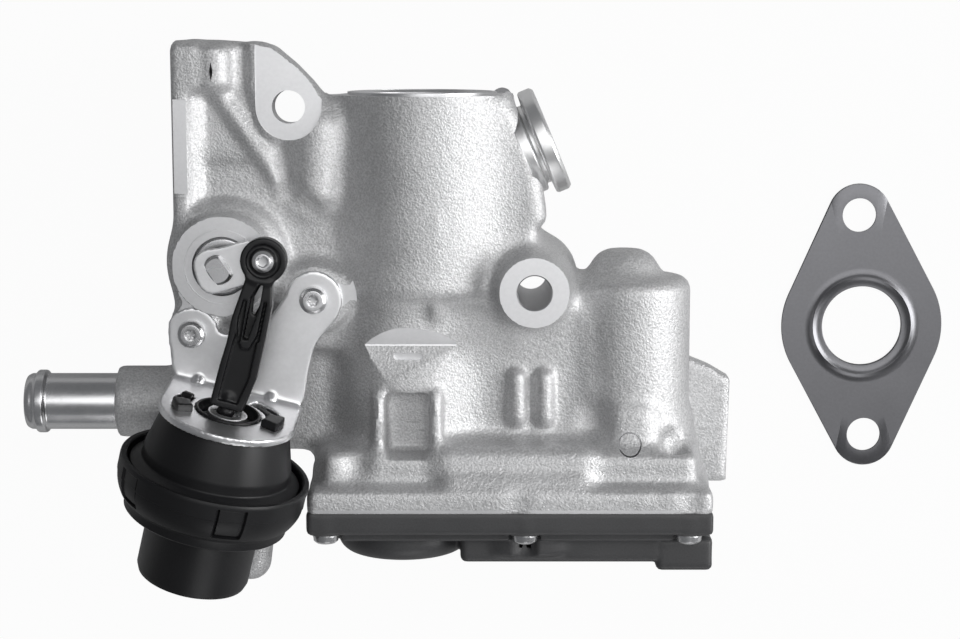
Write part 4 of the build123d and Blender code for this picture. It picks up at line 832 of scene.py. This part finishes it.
# %% Bores from the back, the left and the right
def other_cuts():
    """Rear port and bolts, cooler ports, flap chamber, flange bolts, nipple seat, jacket and outlet."""
    port = [(0, -2), (12.25, -2), (12.25, 20), (11.6, 20), (11.6, stem_z), (0, stem_z)]
    cuts = [turned(port, along(2, 0, 0), 96), block((-110, 110), (-100, 100), (-6, 0.02))]
    cuts += [drill(2, 0, side * 34.4, (-2, 15), 4.25) for side in (-1, 1)]
    chamber = [(-53.2, 37.7), (-34.8, 25.9), (-26, 42), (-8, 42), (-8, 22), (-16, 21), (-34.8, 9.5), (-53.2, -2.3)]
    cuts.append(prism(chamber[::-1], (33, 56)))
    for side in (-1, 1):
        mid = flap_y + side * 9.5
        cuts.append(block((flange_left - 5, flap_x), (mid - 6.5, mid + 6.5), (35, 54)))
    cuts += [drill(0, y, z, (flange_left - 3, -54), 3.4, 48) for y in (-3.0, 73.0) for z in (14.5, 42.0)]
    pipe = [(0, -90), (8.1, -90), (8.1, -63.5), (5.8, -63.5), (5.8, -45), (0, -45)]
    cuts.append(turned(pipe, along(0, -24.6, 45.0), 64))
    cuts.append(block((-62, -30), (-32, -6), (28, 46.4)))
    outlet = [(0, -41), (8.4, -41), (8.4, -13.5), (11.6, -13.5), (11.6, -9.4), (16.3, -9.4), (16.3, 10), (0, 10)]
    cuts.append(turned(outlet, spigot, 96))
    for x, y in ((-59.7, -1.9), (-25.7, 7.6)):
        cuts.append(drill(2, x, y, (52.7, 62.72), 3.0, 48))
        cuts.append(drill(2, x, y, (62.72, 70), 12.0, 48))
    return cuts


dished = prism([(-5.6, 62.3), (-5.6, 75), (-19.6, 75), (-19.6, 66.7)], (-14, 14), axis=0)
slit_x, slit_y = np.array((-53.9, -53.4, -52.9, -53.4)), np.array((70.5, 67.6, 70.5, 73.4))
slit = prism(list(zip(slit_x, slit_y)), (50, 66))
machine(casting, [dished, slit], "cast_aluminium")
machine(casting, stem_cuts() + front_cuts() + other_cuts(), "machined_aluminium")

# %% [markdown]
# The bracket is a pressed sheet of bright zinc-plated steel: two ears for the screws and a tongue bent out to the
# actuator, with two small gussets pressed over the bend and curved slots for the actuator's bayonet. A sheet
# with a real bend radius and pressed dimples is again easiest as distances: the flat and the bent plate are
# joined softly, and the gussets are two sticks laid over the corner.

# %% Bracket
sheet = (62.72, 64.72)
bracket_cell = 0.42
bracket_start, B = space(*corner_mm("bracket"), bracket_cell)
A = seen_from(actuator, B)
outline = [(-66.2, -1.9), (-66.2, 2.6), (-53.0, 2.6), (-52.6, -2.0), (-45.0, -2.4), (-38.0, 2.3),
           (-33.3, 9.3), (-30.7, 12.6), (-18.4, 11.0), (-18.2, 3.6), (-25.4, -4.6), (-27.4, -12.7),
           (-29.0, -22.75), (-65.39, -13.68)]
outline = [tuple(point) for point in softened(outline, 3.0)]
flat = plate(B, outline, sheet, 0.35)
flat = np.minimum(flat, bar(B, 2, (-25.7, 7.6), sheet, 7.9, 0.35))
flat = np.minimum(flat, np.maximum(bar(B, 2, (-59.7, -1.9), sheet, 7.2, 0.35), -66.2 - B[0]))
round_end = np.hypot(A[0], A[1]) - 18.9
tongue = np.maximum(np.abs(A[0]) - 18.75, np.abs(A[1] + 8.9) - 8.9)
bent = rounded(np.minimum(round_end, tongue), np.abs(A[2] - 1.0) - 1.0, 0.35)
field = join(flat, bent, 1.6)
for x, y, z in ((-58.1, -15.4, 64.0), (-37.9, -20.4, 64.0)):
    foot = np.array((x, y, z)) + 1.6 * front
    field = join(field, stick(B, (x, y + 0.9, z), foot, 1.2, 1.5), 0.6)
reach = np.hypot(A[0], A[1])
turn = np.degrees(np.arctan2(A[1], A[0]))
slot_ring = np.abs(reach - 13.0) - 2.2
for middle_deg, half_deg in ((-21.0, 45.0), (177.0, 29.0)):
    off = np.abs((turn - middle_deg + 180) % 360 - 180) - half_deg
    field = np.maximum(field, -np.maximum(np.maximum(slot_ring, radians(1) * off * 13.0), np.abs(A[2] - 1) - 3))
field = np.maximum(field, -np.maximum(reach - 9.0, np.abs(A[2] - 1) - 3))
for x, y in ((-59.7, -1.9), (-25.7, 7.6)):
    field = np.maximum(field, -bar(B, 2, (x, y), (60, 68), 3.3, 0.0))
bracket = piece("pressed_bracket", *skin(field, bracket_start, bracket_cell), "zinc_sheet", "valve_body")
stands_for(bracket, "zinc_sheet", "bracket")
print("bracket points", len(bracket.data.vertices))

# %% [markdown]
# The lever is stamped and keyed to the shaft's flats. The shaft's end is a plain double-D bar: the outline of a
# turned bar whose points are clipped between the two flats. The pin is riveted, so its head has a sloping rim and
# a dimple left by the punch.

# %% Lever, shaft end and pin
casing = [(4.6, 67.0), (8.1, 67.0), (8.1, 70.2), (7.5, 70.9), (5.2, 70.9), (4.6, 70.2)]
casing = piece("seal_casing", *turned(softened(casing, 0.3), along(2, flap_x, flap_y), 96), "pin_steel", "valve_body")
stands_for(casing, "pin_steel", "flap_seal")
lever_cell = 0.3
lever_start, L = space(*corner_mm("flap_lever"), lever_cell)
outline = [(-55.1, 22.9), (-49.2, 23.6), (-45.6, 24.9), (-41.0, 25.9), (-33.6, 24.6), (-32.6, 18.6), (-35.6, 15.2),
           (-43.1, 13.3), (-52.7, 10.6), (-55.6, 12.8), (-57.4, 19.6)]
field = plate(L, [tuple(point) for point in softened(outline, 2.5)], (76.7, 78.7), 0.3)
key = radians(33)
flat_way = (L[0] - flap_x) * cos(key) + (L[1] - flap_y) * sin(key)
hole = np.maximum(np.hypot(L[0] - flap_x, L[1] - flap_y) - 4.0, np.abs(flat_way) - 2.4)
field = np.maximum(field, -(hole + 0 * L[2]))
field = np.maximum(field, -bar(L, 2, (pin_x, pin_y), (70, 80), 2.0, 0.0))
lever = piece("stamped_lever", *skin(field, lever_start, lever_cell), "zinc_sheet", "flap")
stands_for(lever, slot_of["flap_lever"], "flap_lever")

profile = [(0, 27.0), (3.9, 27.0), (3.9, 76.7), (3.9, 80.4), (3.3, 81.0), (0, 81.0)]
flap_place = (np.array((flap_x, flap_y, 0.0)), np.array((cos(key), sin(key), 0)), np.array((-sin(key), cos(key), 0)),
              np.array((0, 0, 1.0)))
points, faces = turned(profile, flap_place, 96)
local = points - flap_place[0]
across_flats = local @ flap_place[1]
excess = np.where(local[:, 2] > 76.8, across_flats - np.clip(across_flats, -2.3, 2.3), 0)
shaft = piece("double_d_shaft", points - excess[:, None] * flap_place[1], faces, "pin_steel", "flap")
stands_for(shaft, slot_of["flap_shaft"], "flap_shaft")

head = [(0, 85.1), (1.3, 85.1), (1.5, 85.65), (2.1, 85.65), (2.95, 84.7), (2.95, 84.1), (2.0, 84.1), (2.0, 76.7),
        (3.0, 76.7), (3.0, 75.7), (0, 75.7)]
pin = piece("riveted_pin", *turned(softened(head, 0.15), along(2, pin_x, pin_y), 96), "pin_steel", "flap")
stands_for(pin, slot_of["lever_pin"], "lever_pin")

# %% [markdown]
# The link is moulded from black plastic: an eye on the pin, two raised rims along its sides with a sunk panel
# between them, and a slot that runs from the eye into the panel. Rims and panel are the same outline twice, the
# second drawn in, so distances give both at once.

# %% Link rod
link_cell = 0.3
link_start, K = space(*corner_mm("link_rod"), link_cell)
left = [(-42.2, 16.3), (-46.3, 5.2), (-47.8, -1.6), (-49.6, -7.1), (-52.7, -18.3)]
right = [(-43.9, -20.8), (-39.9, -11.7), (-37.2, -0.5), (-35.3, 8.4), (-35.2, 15.0)]
body = plate(K, left + right, (79.0, 84.0), 0.5)
eye = bar(K, 2, (pin_x, pin_y), (79.0, 84.0), 6.25, 0.4)
field = join(body, eye, 1.2)
panel = [(-45.2, 1.0), (-46.1, -1.8), (-47.7, -7.4), (-50.4, -17.0), (-45.2, -18.4), (-41.9, -11.4), (-39.6, -1.6),
         (-39.0, 1.2), (-41.8, -3.4), (-43.8, -3.2)]
field = carve(field, plate(K, panel, (82.8, 90), 0.2), 0.3)
for outline, low in (([(-44.6, 4.8), (-43.0, 10.2), (-42.0, 10.0), (-44.0, -1.0), (-45.0, -1.0)], 82.8),
                     ([(-36.6, 9.4), (-37.4, 9.6), (-39.9, -1.4), (-39.0, -1.4)], 82.8),
                     ([(-41.0, 11.0), (-38.6, 14.4), (-37.6, 14.2), (-38.8, 7.6), (-42.0, -0.8), (-43.4, -0.6)], 81.2),
                     ([(-40.3, 10.6), (-38.5, 13.8), (-37.9, 13.6), (-38.8, 8.6), (-40.4, 5.6), (-40.9, 6.2)], 70)):
    field = carve(field, plate(K, outline, (low, 90), 0.2), 0.2)
collar = bar(K, 2, (pin_x, pin_y), (83.4, 90), 4.6, 0.1)
field = carve(field, np.maximum(collar, -bar(K, 2, (pin_x, pin_y), (80, 92), 3.4, 0.1)), 0.2)
down = np.array((-sin(radians(14)), -cos(radians(14)), 0))
foot = np.array((-48.5, -20.6, 81.5))
field = join(field, stick(K, foot - 4.0 * down, foot, 1.8, 1.8), 0.8)
field = np.minimum(field, np.sqrt(sum((k - f) ** 2 for k, f in zip(K, foot))) - 2.4)
field = np.maximum(field, -bar(K, 2, (pin_x, pin_y), (70, 90), 2.05, 0.0))
link = piece("moulded_link", *skin(field, link_start, link_cell), "link_plastic", "link")
stands_for(link, slot_of["link_rod"], "link_rod")
print("link points", len(link.data.vertices))

# %% [markdown]
# The actuator is two snapped black shells. Both are turned forms, and the snap windows of the collar are a change
# of the radius: within a window's angle and height the wall is drawn in, deeper along its sides and foot, so
# that the tongue in its middle stands out. Claw blocks of the bayonet stand out of the bracket's slots, and flush
# black sectors fill the rest of the slots as painted shade, a dark fill that stands for the slots' shadow.

# %% Actuator shells
outer = [(8.6, 2.0), (17.5, 2.0), (20.4, 13.0), (20.5, 16.0), (23.6, 17.2), (23.6, 19.0),
         (20.5, 19.0), (18.7, 16.0), (18.6, 13.0), (15.8, 3.8), (8.6, 3.8)]
upper = piece("upper_shell", *turned(softened(outer, 0.5), actuator, 160), "black_plastic", "valve_body")
stands_for(upper, "black_plastic", "actuator_upper_shell")
neck = [(8.2, -0.6), (8.9, -0.6), (8.9, 3.8), (8.2, 3.8)]
neck = piece("neck_ring", *turned(softened(neck, 0.25), actuator, 96), "black_plastic", "valve_body")
stands_for(neck, "black_plastic")
socket = [(3.2, 0.1), (5.4, 0.1), (5.4, 2.6), (7.9, 2.8), (7.9, 3.6), (5.3, 3.8), (5.3, 17.0), (0, 17.0), (0, 3.6),
          (3.2, 3.6)]
socket = piece("plunger_socket", *turned(softened(socket, 0.25), actuator, 96), "zinc_sheet", "plunger")
stands_for(socket, slot_of["plunger"], "plunger")


def snap_windows(r, t, s):
    """Draws the collar's wall in at five windows: a shallow tongue with a deep gap along its sides and foot."""
    side = np.abs((np.degrees(t) - 70 + 36) % 72 - 36) * radians(1) * 26.0
    height = np.clip((s - 17.4) / 0.3, 0, 1) * np.clip((26.3 - s) / 0.3, 0, 1)
    window = np.clip((4.1 - side) / 0.3, 0, 1) * height
    gap = np.maximum(np.clip((side - 3.3) / 0.3, 0, 1), np.clip((s - 25.3) / 0.3, 0, 1))
    return r - np.where(r > 23.0, window * (0.5 + 0.7 * gap), 0)


wall = np.linspace(17.0, 27.0, 60)
step = np.where(wall < 21.0, 26.2, 26.0 - 0.052 * np.maximum(wall - 21.0, 0) ** 2)
outer = [(24.4, 16.3), (24.8, 16.0), (25.9, 16.0), (26.1, 16.3), *zip(step, wall), (23.6, 27.4),
         (22.8, 28.0), (22.6, 28.6), (22.6, 30.6), (22.2, 31.0), (16.0, 31.2), (15.6, 31.8), (15.6, 47.6),
         (15.0, 49.2), (13.4, 50.0), (0, 50.0), (0, 48.2), (13.0, 48.2), (13.8, 47.4), (13.8, 29.2), (20.8, 29.2),
         (20.8, 20.3), (24.2, 20.3)]
lower = piece("lower_shell", *turned(outer, actuator, 480, snap_windows), "black_plastic", "valve_body")
stands_for(lower, "black_plastic", "actuator_lower_shell")
back = (actuator[0] + actuator[3] * 41.0, actuator[3], actuator[1], -actuator[2])
nozzle = [(1.2, 14.2), (2.4, 14.2), (2.4, 23.6), (2.9, 24.2), (2.3, 26.6), (1.2, 26.6)]
nozzle = piece("vacuum_nipple", *turned(softened(nozzle, 0.2), back, 48), "black_plastic", "valve_body")
stands_for(nozzle, "black_plastic")


def coil(radius, wire_r, low, high, turns, place, rows=600, columns=12):
    """Round wire wound on a helix. With h = 2 pi turns t, the point (t, a) lies at radius + wire_r cos a out from the
    axis at the angle h, and at low + (high - low) t + wire_r sin a along it; both ends close to a point."""
    t = np.linspace(0, 1, rows)[:, None]
    a = np.linspace(0, 2 * pi, columns, endpoint=False)[None, :]
    thick = np.where((t == 0) | (t == 1), 0.0, wire_r)
    r = radius + thick * np.cos(a)
    h = 2 * pi * turns * t
    numbers = (r * np.cos(h), r * np.sin(h), low + (high - low) * t + thick * np.sin(a))
    points = place[0] + sum(number[..., None] * way for number, way in zip(numbers, place[1:]))
    return welded(points.reshape(-1, 3), grid_faces(rows, columns))


spring_low, spring_high, stroke = 20.2, 47.2, 11.1
spring = piece("wound_spring", *coil(8.2, 0.8, spring_low, spring_high, 4, actuator), "pin_steel", "valve_body")
stands_for(spring, slot_of["actuator_spring"], "actuator_spring")
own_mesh(spring)

claw_cell = 0.4
claw_start, C = space((-17, -17, -2.2), (17, 17, 6), claw_cell)
reach = np.hypot(C[0], C[1])
turn = np.degrees(np.arctan2(C[1], C[0])) + 0 * C[2]
field = np.full(np.broadcast(*C).shape, 1e3)
# Rows one and three are flush black sectors whose face lies 0.4 mm inside the bracket's slots. They are painted shade,
# a dark fill that stands for the slots' shadow. The other rows are the claw blocks, which stand out of the slots.
shapes = ((-24.0, 34.0, (11.4, 14.2), (0.4, 3.8)), (8.0, 15.0, (10.4, 15.4), (-2.0, 3.8)),
          (178.0, 22.0, (11.4, 14.2), (0.4, 3.8)), (158.0, 12.0, (10.6, 15.4), (-2.0, 3.8)),
          (200.0, 5.0, (11.2, 14.4), (-1.2, 3.8)))
for middle_deg, half_deg, radii, span in shapes:
    off = (np.abs((turn - middle_deg + 180) % 360 - 180) - half_deg) * radians(1) * 12.8
    out = np.maximum(np.abs(reach - sum(radii) / 2) - (radii[1] - radii[0]) / 2, off)
    field = np.minimum(field, rounded(out, np.abs(C[2] - sum(span) / 2) - (span[1] - span[0]) / 2, 0.3))
points, faces = skin(field, claw_start, claw_cell)
points = actuator[0] + points @ np.array(actuator[1:])
claw_and_shade_piece = piece("bayonet_claws_and_slot_shade", points, faces, "black_plastic", "valve_body")
stands_for(claw_and_shade_piece, "black_plastic")

# %% [markdown]
# Pipes: the coolant nipple is a drawn steel tube with a bead that holds the hose, and the outlet spigot is turned
# aluminium with a clamp groove. Both are profiles turned round their axes, with small rounded edges that catch
# the light as thin lines.

# %% Nipple and spigot
tube = [(6.4, -110.2), (7.4, -110.2), (8.1, -109.0), (8.1, -107.7), (9.1, -107.0), (9.1, -104.7), (8.1, -104.0),
        (8.1, -63.6), (6.4, -63.6)]
tube = turned(softened(tube, 0.45), along(0, -24.6, 45.0), 128)
nipple = piece("drawn_nipple", *tube, "pipe_steel", "valve_body")
stands_for(nipple, slot_of["coolant_nipple"], "coolant_nipple")
stub = [(9.0, 0), (14.5, 0), (15.3, -0.9), (15.3, -4.0), (14.8, -4.6), (11.6, -4.8), (11.6, -6.0), (13.0, -6.2),
        (13.4, -6.6), (13.4, -9.4), (11.6, -9.4), (11.6, -13.4), (9.0, -13.4)]
stub = piece("turned_spigot", *turned(softened(stub, 0.3), spigot, 160), "turned_aluminium", "valve_body")
stands_for(stub, slot_of["outlet_spigot"], "outlet_spigot")

# %% [markdown]
# The cover is moulded: a rim with screw posts, a raised tier, a round dome over the sensor, a flat bulge over the
# large wheel and the cable plug that runs out to the right. Its edges are all softly round, so it is made of
# distances too, with the hollow taken out from behind.

# %% Gear cover
cover_cell = 0.62
cover_start, G = space(*corner_mm("gear_cover"), cover_cell)
idler_x, _, idler_z = [v / MM for v in joint_named("idler_turn")["pos_m"]]
field = boxed(G, case_x, (-57.2, face_y + 0.8), case_z, 1.2)
for x, z in screw_places:
    field = join(field, bar(G, 1, (x, z), (-57.6, -52), 5.4, 0.6), 1.0)
inner_x, inner_z = (case_x[0] + 5.2, case_x[1] - 5.2), (case_z[0] + 5.2, case_z[1] - 5.2)
field = join(field, boxed(G, inner_x, (-60.2, -55), inner_z, 1.0), 0.8)
field = join(field, bar(G, 1, (-1.5, stem_z), (-67.8, -56), 19.2, 5.0), 1.2)
field = join(field, bar(G, 1, (idler_x, idler_z), (-65.4, -56), 26.4, 1.2), 1.0)
field = join(field, boxed(G, (15.0, 72.0), (-67.6, -57.0), (41.0, 65.0), 1.8), 0.8)
field = join(field, boxed(G, (70.4, 86.6), (-70.0, -60.2), (41.0, 65.0), 1.8), 0.5)
room = boxed(G, (case_x[0] + 2.9, case_x[1] - 2.9), (-57.2, -40), (case_z[0] + 2.9, case_z[1] - 2.9), 2.0)
room = np.minimum(room, boxed(G, (inner_x[0] + 2.2, inner_x[1] - 2.2), (-58.0, -50),
                              (inner_z[0] + 2.2, inner_z[1] - 2.2), 2.0))
room = np.minimum(room, bar(G, 1, (0, stem_z), (-65.6, -50), 13.4, 0.5))
room = np.minimum(room, bar(G, 1, (idler_x, idler_z), (-63.2, -50), 24.2, 0.5))
for x, z in screw_places:
    room = np.maximum(room, -bar(G, 1, (x, z), (-70, -40), 4.6, 0.1))
field = np.maximum(field, -room)
field = np.maximum(field, -boxed(G, (71.6, 90), (-68.4, -61.8), (42.6, 63.4), 1.0))
for x, z in screw_places:
    field = np.maximum(field, -bar(G, 1, (x, z), (-72, -57.2), 4.2, 0.1))
    field = np.maximum(field, -bar(G, 1, (x, z), (-72, -40), 2.0, 0.0))
field = np.maximum(field, G[1] - face_y)
cover = piece("moulded_cover", *skin(field, cover_start, cover_cell), "cover_plastic", "valve_body")
stands_for(cover, slot_of["gear_cover"], "gear_cover")
print("cover points", len(cover.data.vertices))

# %% [markdown]
# Screws: pressed pan heads with a six-lobed socket. The socket is a change of the radius with the angle, the sum
# of a circle and a wave of six lobes, so one turned profile gives head, socket and shank.


# %% Screws
def six_lobes(r, t, s):
    """Adds six lobes to the radii of the socket's wall, which is the profile between r 0.9 and r 1.5."""
    return np.where((r > 0.9) & (r < 1.5), r + 0.22 * np.cos(6 * t), r)


def screw(place, head_r, head_h, shank_r, length, size):
    """Screw at a place whose third direction runs out of the head."""
    depth = head_h * 0.45
    head = [(0, depth), (1.2, depth), (1.25, head_h - 0.1), (1.6, head_h), (head_r * 0.72, head_h),
            (head_r * 0.94, head_h * 0.8), (head_r, head_h * 0.35), (head_r, 0), (shank_r, 0), (shank_r, -length),
            (0, -length)]
    origin, x, y, z = place
    scaled = [(r * size if 0.9 < r < 1.7 else r, s) for r, s in head]
    return turned(softened(scaled, 0.15), place, 96, six_lobes)


def screws(name, places, material, slot_node, *numbers):
    """All screws of one node as one piece."""
    bodies = [screw(place, *numbers) for place in places]
    shift = np.cumsum([0] + [len(points) for points, _ in bodies[:-1]])
    points = np.concatenate([points for points, _ in bodies])
    faces = np.concatenate([faces + offset for (_, faces), offset in zip(bodies, shift)])
    obj = piece(name, points, faces, material, "valve_body")
    stands_for(obj, slot_of[slot_node], slot_node)


x, y, z = np.eye(3)
places = [(np.array((a, b, sheet[1])), x, y, z) for a, b in ((-59.7, -1.9), (-25.7, 7.6))]
screws("lobed_bracket_screws", places, "zinc_screw", "bracket_screws", 3.9, 3.2, 3.0, 11.0, 1.0)
places = [(np.array((a, -57.2, b)), x, z, -y) for a, b in screw_places]
screws("lobed_cover_screws", places, "zinc_screw", "cover_screws", 3.65, 3.2, 1.7, 12.0, 1.0)

# %% [markdown]
# The gasket is stamped from thin steel, with a pressed bead round the port. Its outline is the tight band round
# three circles. It is a grid of the angle and the place on a closed section: the section starts at the port's
# edge, climbs over the bead and ends at the band, whose distance from the middle is worked out for each angle.

# %% Gasket
angle = np.linspace(0, 2 * pi, 720, endpoint=False)[:, None]
mid_r, end_r, half_pitch = 24.8, 9.7, 34.4
lean = np.arcsin((mid_r - end_r) / half_pitch)
from_axis = np.abs((angle + pi / 2) % pi - pi / 2)
flank = mid_r / np.cos(from_axis - lean)
end_arc = half_pitch * np.sin(from_axis)
end_arc = end_arc + np.sqrt(np.maximum(end_r ** 2 - (half_pitch * np.cos(from_axis)) ** 2, 0))
end_from = np.arctan2(half_pitch + end_r * np.sin(lean), end_r * np.cos(lean))
band = np.where(from_axis < lean, mid_r, np.where(from_axis < end_from, flank, end_arc))
inner = np.array([12.25, 12.25, 12.45, 14.0, 14.6, 15.2, 15.8, 16.4, 18.0])
level_in = np.array([0.0, 0.85, 1.0, 1.0, 1.35, 1.62, 1.35, 1.0, 1.0])
share = np.array([0.5, 0.985, 1.0, 1.0])
level_out = np.array([1.0, 1.0, 0.85, 0.0])
radii = np.concatenate([np.broadcast_to(inner, (len(angle), len(inner))), 18.0 + (band - 18.0) * share], axis=1)
level = np.broadcast_to(np.concatenate([level_in, level_out]), radii.shape)
points = np.stack([radii * np.cos(angle), radii * np.sin(angle), level], -1).reshape(-1, 3)
gasket = piece("stamped_gasket", *welded(points, grid_faces(*radii.shape)), "gasket_steel", "valve_body")
machine(gasket, [drill(2, 0, side * half_pitch, (-1, 3), 5.2) for side in (-1, 1)], "gasket_steel")
tilt_deg = radians(2.5)
points = np.empty(len(gasket.data.vertices) * 3, np.float32)
gasket.data.vertices.foreach_get("co", points)
points = points.reshape(-1, 3)
spun = points @ np.array([[cos(tilt_deg), sin(tilt_deg), 0], [-sin(tilt_deg), cos(tilt_deg), 0], [0, 0, 1]])
gasket.data.vertices.foreach_set("co", (spun + np.array((139.0, -9.0, 0.0)) * MM).astype(np.float32).ravel())
gasket.data.update()
stands_for(gasket, slot_of["flange_gasket"], "flange_gasket")
print("gasket faces", len(gasket.data.polygons))
